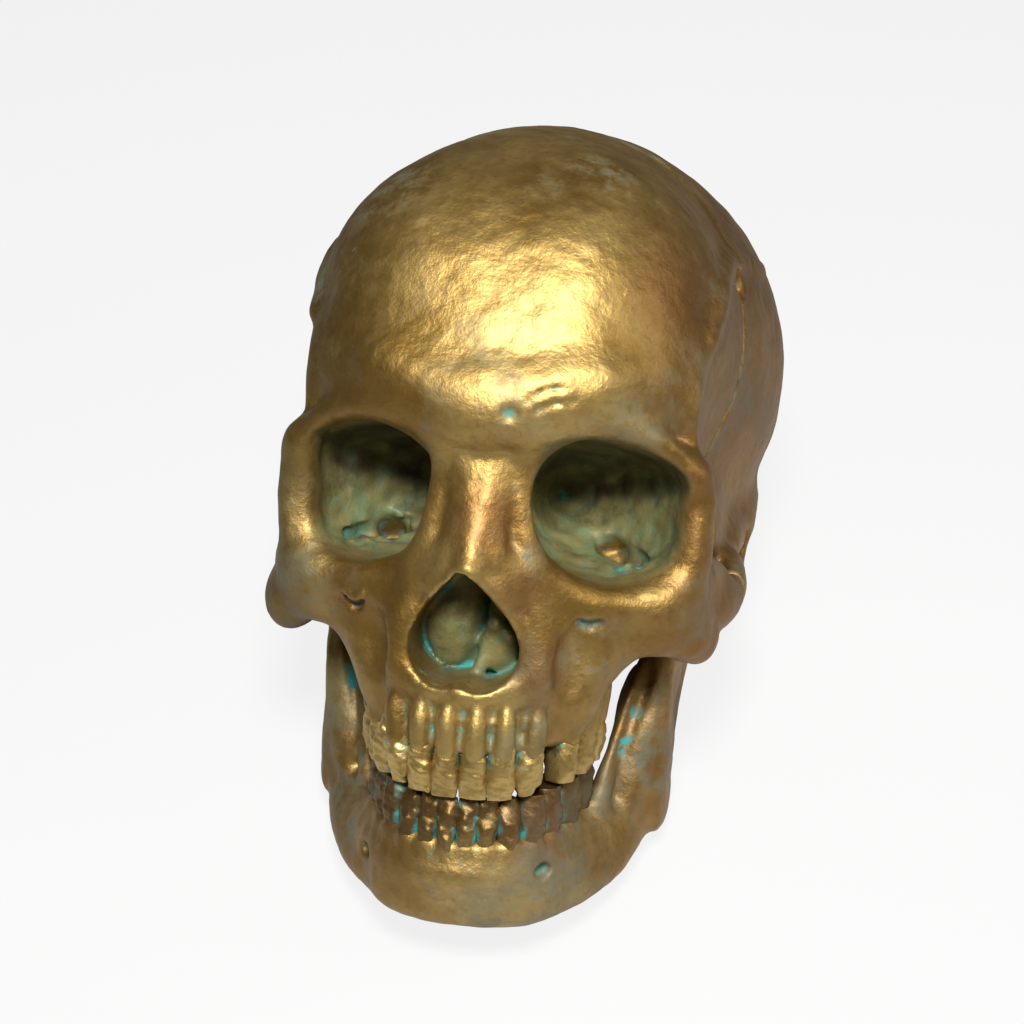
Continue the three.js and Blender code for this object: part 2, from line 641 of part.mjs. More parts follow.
function jawSolid(teeth) {
  let jaw = jawRibbon().add(ellipsoid([0, 1 - CHIN_FRONT, JAW_BASE + 11], [16, 6.5, 10]));
  jaw = jaw.add(bothSides((side) => condyle(side, 0)));
  for (const { socket } of teeth) {
    jaw = jaw.subtract(socket);
  }
  return jaw;
}

// Springs and screws

// A screw lies along X; seat is the x of the bone's face that it goes into, and head that of its head
function screwSolid(side, seat, head, z, play) {
  const way = Math.sign(head - seat);
  const tip = seat - way * (SCREW_GRIP + play);
  const shank = SCREW_RADIUS + play;
  const crown = head + way * SCREW_HEAD_HEIGHT;
  const profile = [[0, tip], [shank * 0.7, tip], [shank, tip + way], [shank, head]];
  if (play === 0) {
    profile.push([SCREW_HEAD_RADIUS, head], [SCREW_HEAD_RADIUS, head + way * SCREW_HEAD_HEIGHT * 0.6]);
    profile.push([SCREW_HEAD_RADIUS * 0.6, crown], [0, crown]);
  } else {
    profile.push([0, head]);
  }
  const turned = new THREE.LatheGeometry(profile.map(([r, x]) => new THREE.Vector2(r, x)), 12);
  return solid(turned.rotateZ(-Math.PI / 2).scale(side, 1, 1).translate(0, SPRING_Y, z));
}

// One wire from the loop round the upper screw, down through the curls, to the lower loop
function springPath() {
  const coilTop = SPRING_TOP_Z - SPRING_LEAD;
  const coilFoot = SPRING_FOOT_Z + SPRING_LEAD;
  const points = [];
  for (let degrees = -70; degrees <= 180; degrees += 25) {
    const angle = THREE.MathUtils.degToRad(degrees);
    points.push([0, HOOK_RADIUS * Math.cos(angle), SPRING_TOP_Z + HOOK_RADIUS * Math.sin(angle)]);
  }
  const steps = 8 * SPRING_TURNS;
  for (let i = 0; i <= steps; i += 1) {
    const angle = Math.PI + i / 8 * 2 * Math.PI;
    const z = THREE.MathUtils.lerp(coilTop, coilFoot, i / steps);
    points.push([HOOK_RADIUS * Math.sin(angle), HOOK_RADIUS * Math.cos(angle), z]);
  }
  for (let degrees = 180; degrees <= 430; degrees += 25) {
    const angle = THREE.MathUtils.degToRad(degrees);
    points.push([0, HOOK_RADIUS * Math.cos(angle), SPRING_FOOT_Z + HOOK_RADIUS * Math.sin(angle)]);
  }
  return new THREE.CatmullRomCurve3(points.map((point) => new THREE.Vector3(...point)));
}

function leastGap(points, thickness) {
  let least = FAR;
  const skip = 6;
  for (let i = 0; i < points.length; i += 1) {
    for (let j = i + skip; j < points.length; j += 1) {
      least = Math.min(least, points[i].distanceTo(points[j]) - thickness);
    }
  }
  return least;
}

function springSolid(side, x) {
  const path = springPath();
  const steps = 8 * SPRING_TURNS + 26;
  const section = new THREE.Shape();
  for (let i = 0; i < 5; i += 1) {
    const angle = i / 5 * 2 * Math.PI;
    const corner = [SPRING_WIRE / 2 * Math.cos(angle), SPRING_WIRE / 2 * Math.sin(angle)];
    if (i === 0) {
      section.moveTo(...corner);
    } else {
      section.lineTo(...corner);
    }
  }
  const wire = new THREE.ExtrudeGeometry(section, { steps, bevelEnabled: false, extrudePath: path });
  const gap = leastGap(path.getSpacedPoints(steps), SPRING_WIRE);
  console.log('least gap of the spring to itself, mm:', gap.toFixed(2));
  return solid(wire.scale(side, 1, 1).translate(side * x, SPRING_Y, 0));
}

// The x of the first faces of a body that are met beside the springs, looking from one x along X
function facesMet(body, from, way, levels) {
  const mesh = new THREE.Mesh(geometryOf(body));
  mesh.material.side = THREE.DoubleSide;
  const met = [];
  for (const z of levels) {
    for (const y of [SPRING_Y - HOOK_RADIUS, SPRING_Y, SPRING_Y + HOOK_RADIUS]) {
      const ray = new THREE.Raycaster(new THREE.Vector3(from, y, z), new THREE.Vector3(way, 0, 0));
      met.push(...ray.intersectObject(mesh).slice(0, 1).map(({ point }) => point.x));
    }
  }
  return met;
}

// Put together

const upperTeeth = toothRow('upper', UPPER_ARCH, UPPER_GUM, BITE_RISE, -1);
const lowerTeeth = toothRow('lower', LOWER_ARCH, LOWER_GUM, LOWER_GUM_RISE, 1);

function wholeCranium() {
  const middle = new THREE.Vector3(0, ORBIT.y + 42, ORBIT_LEVEL - 4);
  let head = wrap(craniumClay(), middle, 0, 40, 32, 1.3);
  head = head.add(bothSides(cheekArch)).add(bothSides(mastoid));
  head = head.subtract(bothSides((side) => orbitSolid(side, 0)));
  head = head.subtract(noseSolid());
  head = head.subtract(bothSides((side) => condyle(side, HINGE_PLAY)));
  head = head.subtract(bothSides(neckRoom));
  head = head.subtract(bothSides(earHole));
  head = head.subtract(ellipsoid([0, -66, UPPER_GUM], [UPPER_ARCH.half - 7, 22, 10]));
  head = head.subtract(ellipsoid([0, -38, -34], [13, 16, 15]));
  for (const { socket } of upperTeeth) {
    head = head.subtract(socket);
  }
  return head;
}

// The hollow leaves a wall under the outside of the braincase
function hollow(wall) {
  const clay = new Clay();
  braincaseClay(clay);
  const middle = new THREE.Vector3(0, CASE_BACK - 75, CASE_TOP - 60);
  return wrap(clay, middle, -wall, 20, 14, 1.2);
}

function craniumShells() {
  const head = wholeCranium();
  const thick = SHELL_WALL + SEAM_GAP + LAP_WALL;
  const shallow = hollow(SHELL_WALL);
  const deep = hollow(thick);
  const neckHole = new THREE.CylinderGeometry(NECK_HOLE_RADIUS, NECK_HOLE_RADIUS + 1, CASE_TOP, 24);
  neckHole.rotateX(Math.PI / 2).translate(0, 24, -20);
  const lapRing = hollow(SHELL_WALL + SEAM_GAP).subtract(deep);
  const lap = lapRing.intersect(behindSeam(-2)).intersect(aheadOfSeam(LAP_LENGTH));
  const socketWalls = bothSides((side) => orbitSolid(side, SHELL_WALL)).intersect(aheadOfSeam(-SEAM_GAP));
  const front = head.intersect(aheadOfSeam(-SEAM_GAP / 2));
  const face = front.subtract(deep.subtract(socketWalls)).add(lap);
  const rear = head.intersect(behindSeam(SEAM_GAP / 2)).subtract(shallow).subtract(solid(neckHole));
  return { face, rear };
}

const shells = craniumShells();
const jaw = jawSolid(lowerTeeth);

// The spring hangs in the gap between the cheek arch and the jaw's branch, clear of both. Its upper
// screw goes out into the arch, and its lower one in into the branch.
const branchFace = Math.max(...facesMet(jaw, FAR, -1, [SPRING_FOOT_Z]));
const branchLevels = [0, 0.25, 0.5, 0.75, 1].map((share) => (
  THREE.MathUtils.lerp(SPRING_FOOT_Z, SPRING_TOP_Z, share)
));
const springX = Math.max(...facesMet(jaw, FAR, -1, branchLevels)) + SPRING_OFFSET;
const archFace = Math.min(...facesMet(shells.rear, springX, 1, [SPRING_TOP_Z]));
const hookRoom = SPRING_WIRE / 2 + SPRING_CLEAR;

function cheekScrew(play) {
  return (side) => screwSolid(side, archFace, springX - hookRoom, SPRING_TOP_Z, play);
}

function jawScrew(play) {
  return (side) => screwSolid(side, branchFace, springX + hookRoom, SPRING_FOOT_Z, play);
}

const archBores = bothSides(cheekScrew(SCREW_PLAY));
const branchBores = bothSides(jawScrew(SCREW_PLAY));

const pieces = [
  { name: 'face_shell', body: shells.face, finish: 'bronze' },
  { name: 'braincase_shell', body: shells.rear.subtract(archBores), finish: 'bronze' },
  { name: 'lower_jaw', body: jaw.subtract(branchBores), finish: 'umber' },
];
for (const { name, body } of [...upperTeeth, ...lowerTeeth]) {
  if (name !== LOST_TOOTH) {
    pieces.push({ name, body, finish: 'tooth' });
  }
}
for (const [label, side] of [['left', 1], ['right', -1]]) {
  pieces.push({ name: `${label}_jaw_spring`, body: springSolid(side, springX), finish: 'steel' });
  pieces.push({ name: `${label}_cheek_screw`, body: cheekScrew(0)(side), finish: 'steel' });
  pieces.push({ name: `${label}_jaw_screw`, body: jawScrew(0)(side), finish: 'steel' });
}

// Rest: the head tips back about the angles of the jaw until the back of the head touches

function lowest(geometry, tilt) {
  const p = geometry.attributes.position;
  let least = FAR;
  for (let i = 0; i < p.count; i += 1) {
    least = Math.min(least, p.getZ(i) * Math.cos(tilt) - p.getY(i) * Math.sin(tilt));
  }
  return least;
}

function restTilt() {
  const rear = geometryOf(shells.rear);
  const angle = geometryOf(jaw);
  let low = 0;
  let high = Math.PI / 3;
  for (let i = 0; i < 40; i += 1) {
    const tilt = (low + high) / 2;
    if (lowest(rear, tilt) > lowest(angle, tilt)) {
      low = tilt;
    } else {
      high = tilt;
    }
  }
  return { tilt: low, floor: lowest(angle, low) + REST_FLAT };
}

const rest = restTilt();

function underFloor() {
  const slab = new THREE.BoxGeometry(FAR, FAR * 2, FAR).translate(0, 0, rest.floor - FAR / 2);
  return solid(slab.rotateX(rest.tilt));
}

const FINISHES = {
  bronze: { color: 0x8f6d34, roughness: 0.42, metalness: 0.75 },
  umber: { color: 0x7a5a2e, roughness: 0.45, metalness: 0.7 },
  tooth: { color: 0xa98a4a, roughness: 0.4, metalness: 0.7 },
  steel: { color: 0xa9a6a0, roughness: 0.35, metalness: 0.95 },
};

const upright = new THREE.Group();
const ground = underFloor();
for (const { name, body, finish } of pieces) {
  const material = new THREE.MeshStandardMaterial(FINISHES[finish]);
  const mesh = new THREE.Mesh(geometryOf(body.subtract(ground)), material);
  mesh.name = name;
  upright.add(mesh);
}
upright.rotation.x = -rest.tilt;

const skull = new THREE.Group();
skull.add(upright);
skull.updateMatrixWorld(true);
const box = new THREE.Box3().setFromObject(skull, true);
upright.position.set(0, -(box.min.y + box.max.y) / 2, -box.min.z);

export default skull;
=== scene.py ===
# %% [markdown]
# # A cast skull decoration
# The real thing is a life-size skull of cast resin. It has bronze paint all over, with green patina
# in its hollows, and its jaw is a separate piece that hangs on two springs. Its solids are loaded
# first, as a frame that stays where it is, and each piece below takes its place from them.

# %% Load the frame
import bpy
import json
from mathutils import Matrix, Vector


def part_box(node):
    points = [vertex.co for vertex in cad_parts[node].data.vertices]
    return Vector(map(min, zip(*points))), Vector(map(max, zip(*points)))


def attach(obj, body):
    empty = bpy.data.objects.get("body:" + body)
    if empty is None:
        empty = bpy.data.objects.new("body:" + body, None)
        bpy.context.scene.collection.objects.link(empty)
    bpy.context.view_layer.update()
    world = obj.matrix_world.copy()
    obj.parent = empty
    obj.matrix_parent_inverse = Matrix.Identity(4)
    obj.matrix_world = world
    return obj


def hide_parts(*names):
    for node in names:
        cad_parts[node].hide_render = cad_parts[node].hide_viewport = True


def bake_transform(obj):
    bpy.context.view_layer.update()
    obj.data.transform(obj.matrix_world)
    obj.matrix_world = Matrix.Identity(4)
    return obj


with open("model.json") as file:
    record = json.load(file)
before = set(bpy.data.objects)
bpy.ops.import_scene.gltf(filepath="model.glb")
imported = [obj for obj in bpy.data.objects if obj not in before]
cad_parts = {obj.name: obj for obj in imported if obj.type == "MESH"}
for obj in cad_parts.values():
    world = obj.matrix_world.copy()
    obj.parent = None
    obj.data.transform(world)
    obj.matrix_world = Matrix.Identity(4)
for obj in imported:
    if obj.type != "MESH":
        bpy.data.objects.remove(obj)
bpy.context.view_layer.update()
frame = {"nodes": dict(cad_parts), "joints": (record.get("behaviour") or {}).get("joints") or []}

# %% [markdown]
# ## Upright axes
# The skull lies tipped back on the corners of its jaw. It is far easier to model a face that stands
# upright, so the lesson works in millimetres with the ear holes at the origin, the skull's left at
# +X and its front at -Y. The two spring screws of a side stand one above the other when the skull is
# upright, which gives the tilt, and the jaw's hinge gives the place.

# %% From upright millimetres to the frame and back
import json
import math
import bpy
import bmesh
import numpy as np
import openvdb
from mathutils import Matrix

MM = 0.001
HINGE = np.array((0.0, -12.0, -5.0))


def unit(way):
    return way / np.linalg.norm(way)


def cos_sin(degrees):
    return math.cos(math.radians(degrees)), math.sin(math.radians(degrees))


def middle_of(node):
    low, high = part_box(node)
    return (np.array(low) + np.array(high)) / 2


up_way = middle_of("left_cheek_screw") - middle_of("left_jaw_screw")
up_way[0] = 0
up_way = unit(up_way)
left_way = np.array((1.0, 0.0, 0.0))
AXES = np.stack((left_way, np.cross(up_way, left_way), up_way))
hinge_point = np.array(frame["joints"][0]["pos_m"])


def to_frame(points):
    return (np.asarray(points, float) - HINGE) @ AXES * MM + hinge_point


def to_upright(points):
    return (np.asarray(points, float) - hinge_point) @ AXES.T / MM + HINGE


def mesh_points(mesh):
    flat = np.empty(len(mesh.vertices) * 3)
    mesh.vertices.foreach_get("co", flat)
    return flat.reshape(-1, 3)


def node_points(name):
    return to_upright(mesh_points(frame["nodes"][name].data))


print("tilt:", round(math.degrees(math.atan2(up_way[1], up_way[2])), 2), "degrees")

# %% [markdown]
# ## Camera
# The camera comes first, because every shape is judged through it. The picture was taken from half a
# metre in front, a little to the skull's left and above its eyes, so near things look large. The lens
# and the small shift of the frame come from fitting a life-size head to the picture.

# %% Place the camera
CAMERA_AIM = np.array((0.78, -20.0, 5.29))
CAMERA_DISTANCE = 504.9
CAMERA_AZIMUTH = math.radians(8.22)
CAMERA_HEIGHT = math.radians(9.02)
CAMERA_ROLL = math.radians(4.29)
PICTURE = 1024
FOCAL_PIXELS = 1803.7
CENTRE_PIXELS = (523.9, 515.7)
SENSOR = 36.0

view_back = np.array((
    math.sin(CAMERA_AZIMUTH) * math.cos(CAMERA_HEIGHT),
    -math.cos(CAMERA_AZIMUTH) * math.cos(CAMERA_HEIGHT),
    math.sin(CAMERA_HEIGHT),
))
level_right = np.array((math.cos(CAMERA_AZIMUTH), math.sin(CAMERA_AZIMUTH), 0.0))
level_up = np.cross(view_back, level_right)
view_right = math.cos(CAMERA_ROLL) * level_right + math.sin(CAMERA_ROLL) * level_up
view_up = np.cross(view_back, view_right)
camera_spot = CAMERA_AIM + view_back * CAMERA_DISTANCE


def looking(spot, right, up, back):
    turned = np.eye(4)
    turned[:3, :3] = (np.stack((right, up, back)) @ AXES).T
    turned[:3, 3] = to_frame(spot)
    return Matrix(turned.tolist())


lens = bpy.data.cameras.new("camera")
lens.sensor_width = SENSOR
lens.lens = FOCAL_PIXELS / PICTURE * SENSOR
lens.shift_x = (PICTURE / 2 - CENTRE_PIXELS[0]) / PICTURE
lens.shift_y = (CENTRE_PIXELS[1] - PICTURE / 2) / PICTURE
lens.clip_start = 0.01
camera = bpy.data.objects.new("camera", lens)
camera.matrix_world = looking(camera_spot, view_right, view_up, view_back)
bpy.context.scene.collection.objects.link(camera)
bpy.context.scene.camera = camera
print("camera at", [round(v, 3) for v in camera.matrix_world.translation],
      "lens", round(lens.lens, 2))

# %% [markdown]
# ## Formulas made of nodes
# Paints and skies are trees of nodes. A mask is easier to read as a formula, so a small class lets
# the sums and products of masks be written with +, * and | (the larger of two). Each of them adds
# one node.

# %% Helpers that add nodes
class Value:
    """A number, a place or a colour in a node tree."""

    def __init__(self, socket):
        self.socket = socket
        self.tree = socket.id_data

    def calculate(self, operation, first, second=0.0):
        node = add_node(self.tree, "ShaderNodeMath", {"operation": operation})
        plug(node.inputs[0], first)
        plug(node.inputs[1], second)
        return Value(node.outputs[0])

    def __add__(self, other):
        return self.calculate("ADD", self, other)

    def __mul__(self, other):
        return self.calculate("MULTIPLY", self, other)

    def __rsub__(self, other):
        return self.calculate("SUBTRACT", other, self)

    def __or__(self, other):
        return self.calculate("MAXIMUM", self, other)

    def __abs__(self):
        return self.calculate("ABSOLUTE", self)

    def clamped(self):
        """The result of the last step, kept between zero and one."""
        self.socket.node.use_clamp = True
        return self

    def stretched(self, low, high):
        """Zero below low, one above high."""
        node = add_node(self.tree, "ShaderNodeMapRange", {"interpolation_type": "SMOOTHSTEP"},
                        Value=self, From_Min=low, From_Max=high)
        return Value(node.outputs["Result"])


def plug(socket, value):
    if isinstance(value, Value):
        value.tree.links.new(value.socket, socket)
    else:
        socket.default_value = value


def fill(node, **sockets):
    """Plugs a value into each named socket, with _ for a space."""
    for name, value in sockets.items():
        plug(node.inputs[name.replace("_", " ")], value)
    return node


def add_node(tree, kind, settings=None, **sockets):
    node = tree.nodes.new(kind)
    for name, value in (settings or {}).items():
        setattr(node, name, value)
    return fill(node, **sockets)


def mixed(share, first, second):
    node = add_node(share.tree, "ShaderNodeMix", {"data_type": "RGBA"})
    for index, value in ((0, share), (6, first), (7, second)):
        plug(node.inputs[index], value)
    return Value(node.outputs[2])


def blotches(place, scale, detail=4.0, roughness=0.55):
    noise = add_node(place.tree, "ShaderNodeTexNoise", None, Vector=place, Scale=scale, Detail=detail,
                     Roughness=roughness)
    return Value(noise.outputs["Fac"])


print("node helpers ready")

# %% [markdown]
# ## Floor and light
# A pale floor and a soft grey sky show metal paint well. The camera sees the floor mostly as white
# paper and the sky as a pale backdrop, while the paint still reflects the darker sky. One soft lamp
# stands above the camera: it gives the broad gleam on the forehead, which a gold spot in the paint
# widens as a painted highlight, and the dark crescents under both brows, which the paint deepens
# with painted shadow. A second, weaker lamp from the skull's left draws the side of the head.

# %% Build the floor and the sky
FLOOR_SIZE = 8.0
FLOOR_COLOUR = (0.6, 0.6, 0.59, 1)
FLOOR_ROUGHNESS = 0.9
PAPER_SHARE = 0.85
SKY_COLOUR = (1, 1, 1, 1)
SKY_STRENGTH = 0.09
BACKDROP_COLOUR = (0.9, 0.9, 0.9, 1)


def deselect_all():
    if bpy.context.object and bpy.context.object.mode != "OBJECT":
        bpy.ops.object.mode_set(mode="OBJECT")
    bpy.ops.object.select_all(action="DESELECT")


def camera_sees(tree, instead, share, usual, output):
    """Shows the camera another surface, by share; light still meets the usual one."""
    seen = Value(add_node(tree, "ShaderNodeLightPath").outputs["Is Camera Ray"]) * share
    both = tree.nodes.new("ShaderNodeMixShader")
    for socket, value in zip(both.inputs, (seen, Value(usual.outputs[0]), Value(instead.outputs[0]))):
        plug(socket, value)
    fill(tree.nodes[output], Surface=Value(both.outputs[0]))


deselect_all()
bpy.ops.mesh.primitive_plane_add(size=FLOOR_SIZE)
floor = bpy.context.object
floor.name = "floor"
floor_paint = bpy.data.materials.new("pale_floor")
floor_paint.use_nodes = True
floor_tree = floor_paint.node_tree
pale = fill(floor_tree.nodes["Principled BSDF"], Base_Color=FLOOR_COLOUR, Roughness=FLOOR_ROUGHNESS)
paper = add_node(floor_tree, "ShaderNodeEmission")
camera_sees(floor_tree, paper, PAPER_SHARE, pale, "Material Output")
floor.data.materials.append(floor_paint)

sky = bpy.data.worlds.new("sky")
sky.use_nodes = True
glow = fill(sky.node_tree.nodes["Background"], Color=SKY_COLOUR, Strength=SKY_STRENGTH)
backdrop = add_node(sky.node_tree, "ShaderNodeBackground", None, Color=BACKDROP_COLOUR)
camera_sees(sky.node_tree, backdrop, 1.0, glow, "World Output")
bpy.context.scene.world = sky
bpy.context.scene.view_settings.view_transform = "Standard"
print("floor", FLOOR_SIZE, "m, sky", SKY_STRENGTH)

# %% Hang the lamps
def soft_lamp(name, right, up, back, size, watts):
    """A square lamp, placed in millimetres as the camera sees it, that faces the skull."""
    spot = CAMERA_AIM + view_right * right + view_up * up + view_back * back
    away = unit(spot - CAMERA_AIM)
    side = unit(np.cross(view_up, away))
    light = bpy.data.lights.new(name, "AREA")
    light.size = size * MM
    light.energy = watts
    lamp = bpy.data.objects.new(name, light)
    lamp.matrix_world = looking(spot, side, np.cross(away, side), away)
    bpy.context.scene.collection.objects.link(lamp)


soft_lamp("lamp_over_camera", right=0, up=200, back=560, size=130, watts=4.6)
soft_lamp("lamp_left_side", right=520, up=160, back=330, size=320, watts=0.8)
print("lamps:", [light.name for light in bpy.data.lights])

# %% [markdown]
# ## Clay
# Bone has no flat faces and no straight edges, and one form runs into the next. Extruding it from a
# box gives folds and pinches, so the bones are made the way a modeller makes them: rounded lumps of
# clay are pressed together and hollows are carved out. In numbers, the clay is the distance to the
# surface at each point of a grid. An egg or a rope of clay is a simple distance, and two of them are
# joined by a minimum whose corner is rounded.

# %% Curves through points
def smooth_path(points, steps=5):
    """A smooth curve through points, as short straight pieces."""
    p = np.array(points, float)
    if len(p) < 3:
        return p
    ends = np.vstack((2 * p[0] - p[1], p, 2 * p[-1] - p[-2]))
    path = []
    for a, b, c, d in zip(ends, ends[1:], ends[2:], ends[3:]):
        for t in np.arange(steps) / steps:
            bend = (2 * a - 5 * b + 4 * c - d) * t ** 2 + (3 * b - a - 3 * c + d) * t ** 3
            path.append(b + 0.5 * ((c - a) * t + bend))
    return np.array(path + [p[-1]])


def round_outline(angle, knots):
    """Radius at each angle in degrees, smooth through knots of angle and radius once round."""
    turn = [(a - 360, r) for a, r in knots] + list(knots) + [(a + 360, r) for a, r in knots]
    path = smooth_path(turn)
    return np.interp(angle, path[:, 0], path[:, 1])


print("a path of 3 points becomes", len(smooth_path(np.eye(3))))

# %% Clay that lumps are pressed onto and carved out of
FAR = 30.0


class Clay:
    """Distance to the surface on a grid, in upright millimetres; inside the clay it is negative."""

    def __init__(self, low, high, step):
        self.low = np.array(low, float)
        self.step = step
        self.soft_middle = 0.0
        self.count = np.ceil((np.array(high, float) - self.low) / step).astype(int) + 1
        self.depth = np.full(self.count, FAR, np.float32)

    def window(self, low, high):
        """The part of the grid between two corners, and its coordinates."""
        first = np.floor((np.array(low) - self.low) / self.step).astype(int)
        last = np.ceil((np.array(high) - self.low) / self.step).astype(int) + 1
        first = np.clip(first, 0, self.count)
        last = np.clip(last, 0, self.count)
        part = tuple(slice(a, b) for a, b in zip(first, last))
        lines = [
            (self.low[k] + self.step * np.arange(first[k], last[k])).astype(np.float32)
            for k in range(3)
        ]
        if self.soft_middle:
            lines[0] = np.hypot(lines[0], np.float32(self.soft_middle))
        return part, np.meshgrid(*lines, indexing="ij", sparse=True)

    def whole(self):
        return self.window(self.low, self.low + self.step * (self.count - 1))

    def press(self, part, lump, blend):
        old = self.depth[part]
        mix = np.clip(0.5 + 0.5 * (lump - old) / blend, 0, 1)
        self.depth[part] = lump * (1 - mix) + old * mix - blend * mix * (1 - mix)

    def carve(self, part, lump, blend):
        old = self.depth[part]
        mix = np.clip(0.5 + 0.5 * (lump + old) / blend, 0, 1)
        self.depth[part] = -lump * (1 - mix) + old * mix + blend * mix * (1 - mix)

    def egg(self, centre, radii, blend, turn=0.0, lean=0.0, carve=False):
        """An egg; turn is about the upright line and lean about the line through both ears."""
        reach = max(radii) + blend + 4
        part, (x, y, z) = self.window(np.array(centre) - reach, np.array(centre) + reach)
        x, y, z = x - centre[0], y - centre[1], z - centre[2]
        c, s = cos_sin(turn)
        x, y = c * x + s * y, c * y - s * x
        c, s = cos_sin(lean)
        y, z = c * y + s * z, c * z - s * y
        a, b, d = radii
        inside = np.sqrt((x / a) ** 2 + (y / b) ** 2 + (z / d) ** 2)
        slope = np.sqrt((x / a ** 2) ** 2 + (y / b ** 2) ** 2 + (z / d ** 2) ** 2) + 1e-6
        lump = (inside * (inside - 1) / slope).astype(np.float32)
        (self.carve if carve else self.press)(part, lump, blend)

    def rope(self, points, radii, blend, tall=1.0, carve=False):
        """A rope through points; radii run evenly along it, and tall stretches it upwards."""
        path = smooth_path(points)
        along = np.linspace(0, 1, len(path))
        thick = np.interp(along, np.linspace(0, 1, len(radii)), radii)
        reach = max(radii) * tall + blend + 4
        part, (x, y, z) = self.window(path.min(0) - reach, path.max(0) + reach)
        flat = path / (1, 1, tall)
        lump = None
        for i in range(len(flat) - 1):
            span = flat[i + 1] - flat[i]
            px, py, pz = x - flat[i][0], y - flat[i][1], z / tall - flat[i][2]
            t = np.clip((px * span[0] + py * span[1] + pz * span[2]) / (span @ span), 0, 1)
            px, py, pz = px - t * span[0], py - t * span[1], pz - t * span[2]
            gap = np.sqrt(px ** 2 + py ** 2 + pz ** 2) - (thick[i] + t * (thick[i + 1] - thick[i]))
            lump = gap if lump is None else np.minimum(lump, gap)
        (self.carve if carve else self.press)(part, lump.astype(np.float32), blend)

    def cells_inside(self, axis, place):
        """The cells inside the clay along one axis, at a place on the other two."""
        others = [k for k in range(3) if k != axis]
        a, b = cell = ((np.array(place) - self.low[others]) / self.step).round().astype(int)
        if (cell < 0).any() or (cell >= self.count[others]).any():
            return ()
        return np.nonzero(np.moveaxis(self.depth, axis, 0)[:, a, b] < 0)[0]

    def on_skin(self, y, z, lift=0.0):
        """The point of the clay's outside at y and z, on the side of +X, and lift millimetres out."""
        inside = self.cells_inside(0, (y, z))
        if len(inside):
            return (self.low[0] + self.step * inside[-1] + lift, y, z)

    def on_front(self, x, z, lift=0.0):
        """The point of the clay's front at x and z, and lift millimetres ahead of it."""
        inside = self.cells_inside(1, (x, z))
        if len(inside) and inside[0]:
            return (x, self.low[1] + self.step * inside[0] - lift, z)

    def laid_rope(self, spot, route, radii, blend, lift=0.0, carve=False):
        """A bead or a groove on the outside; spot, on_skin or on_front, finds it along the route."""
        points = [spot(*place, lift) for place in smooth_path(route, 3)]
        points = [point for point in points if point]
        if len(points) > 2:
            self.rope(points, radii, blend, carve=carve)

    def make_uneven(self, waves, middle=None, radius=0.0):
        """Shallow dents and swellings, everywhere or inside one ball."""
        if middle is None:
            part, (x, y, z) = self.whole()
            fade = 1.0
        else:
            reach = np.full(3, radius)
            part, (x, y, z) = self.window(middle - reach, middle + reach)
            gap = np.sqrt((x - middle[0]) ** 2 + (y - middle[1]) ** 2 + (z - middle[2]) ** 2)
            fade = np.clip(2 - 2 * gap / radius, 0, 1)
        swell = 0
        for way, start, height in waves:
            swell = swell + height * np.sin(x * way[0] + y * way[1] + z * way[2] + start)
        self.depth[part] += (fade * swell).astype(np.float32)

    def both_sides(self):
        """The same clay with its x >= 0 half mirrored to the other side."""
        other = Clay(self.low, self.low, self.step)
        other.depth = np.concatenate((self.depth[:0:-1], self.depth), axis=0)
        other.count = np.array(other.depth.shape)
        other.low = self.low - (self.step * (self.count[0] - 1), 0, 0)
        return other


print("clay tools ready")

# %% Waves that make a cast uneven
DENT_SEED = 7


def dent_waves(count, shortest, longest, height):
    """Waves in all directions, the same at every run, with lengths and a height in millimetres."""
    dice = np.random.default_rng(DENT_SEED + count)
    waves = []
    for _ in range(count):
        way = dice.normal(size=3)
        length = dice.uniform(shortest, longest)
        way *= 2 * math.pi / length / np.linalg.norm(way)
        waves.append((way.astype(np.float32), dice.uniform(0, 2 * math.pi), height * length / longest))
    return waves


DENTS = dent_waves(14, 9, 26, 0.075) + dent_waves(12, 3.4, 6, 0.022)
RAGGED = dent_waves(16, 3.6, 9, 0.15)
print("waves:", len(DENTS), "for dents and", len(RAGGED), "for ragged hollows")

# %% [markdown]
# ## Tooth places
# The sockets, the ridges over the roots and the teeth all follow the same two rows, so each tooth's
# place is measured once, from its solid: where it stands, how wide and deep it is, which way the row
# runs there, and the levels of its root's tip and its biting edge.

# %% Measure every tooth
ROOT_LENGTH = 8.0
KINDS = ("central_incisor", "lateral_incisor", "canine", "first_premolar",
         "second_premolar", "first_molar", "second_molar")


def measured_tooth(name):
    points = node_points(name)
    low, high = points.min(0), points.max(0)
    upper = name.startswith("upper")
    return {
        "name": name,
        "upper": upper,
        "points": points,
        "spot": (low[:2] + high[:2]) / 2,
        "tip": high[2] if upper else low[2],
        "edge": low[2] if upper else high[2],
    }


def tooth_row(jaw):
    """The teeth of one jaw from the skull's right end to its left end."""
    names = [f"{jaw}_right_{kind}" for kind in reversed(KINDS)]
    names += [f"{jaw}_left_{kind}" for kind in KINDS]
    row = [measured_tooth(name) for name in names if name in frame["nodes"]]
    for i, tooth in enumerate(row):
        before = row[max(i - 1, 0)]["spot"]
        after = row[min(i + 1, len(row) - 1)]["spot"]
        along = unit(after - before)
        tooth["along"] = np.array((along[0], along[1], 0))
        tooth["out"] = np.array((along[1], -along[0], 0))
        way = 1 if tooth["upper"] else -1
        tooth["neck"] = tooth["tip"] - way * ROOT_LENGTH
        offset = tooth["points"][:, :2] - tooth["spot"]
        tooth["width"] = np.ptp(offset @ along)
        tooth["thick"] = np.ptp(offset @ tooth["out"][:2])
    return row


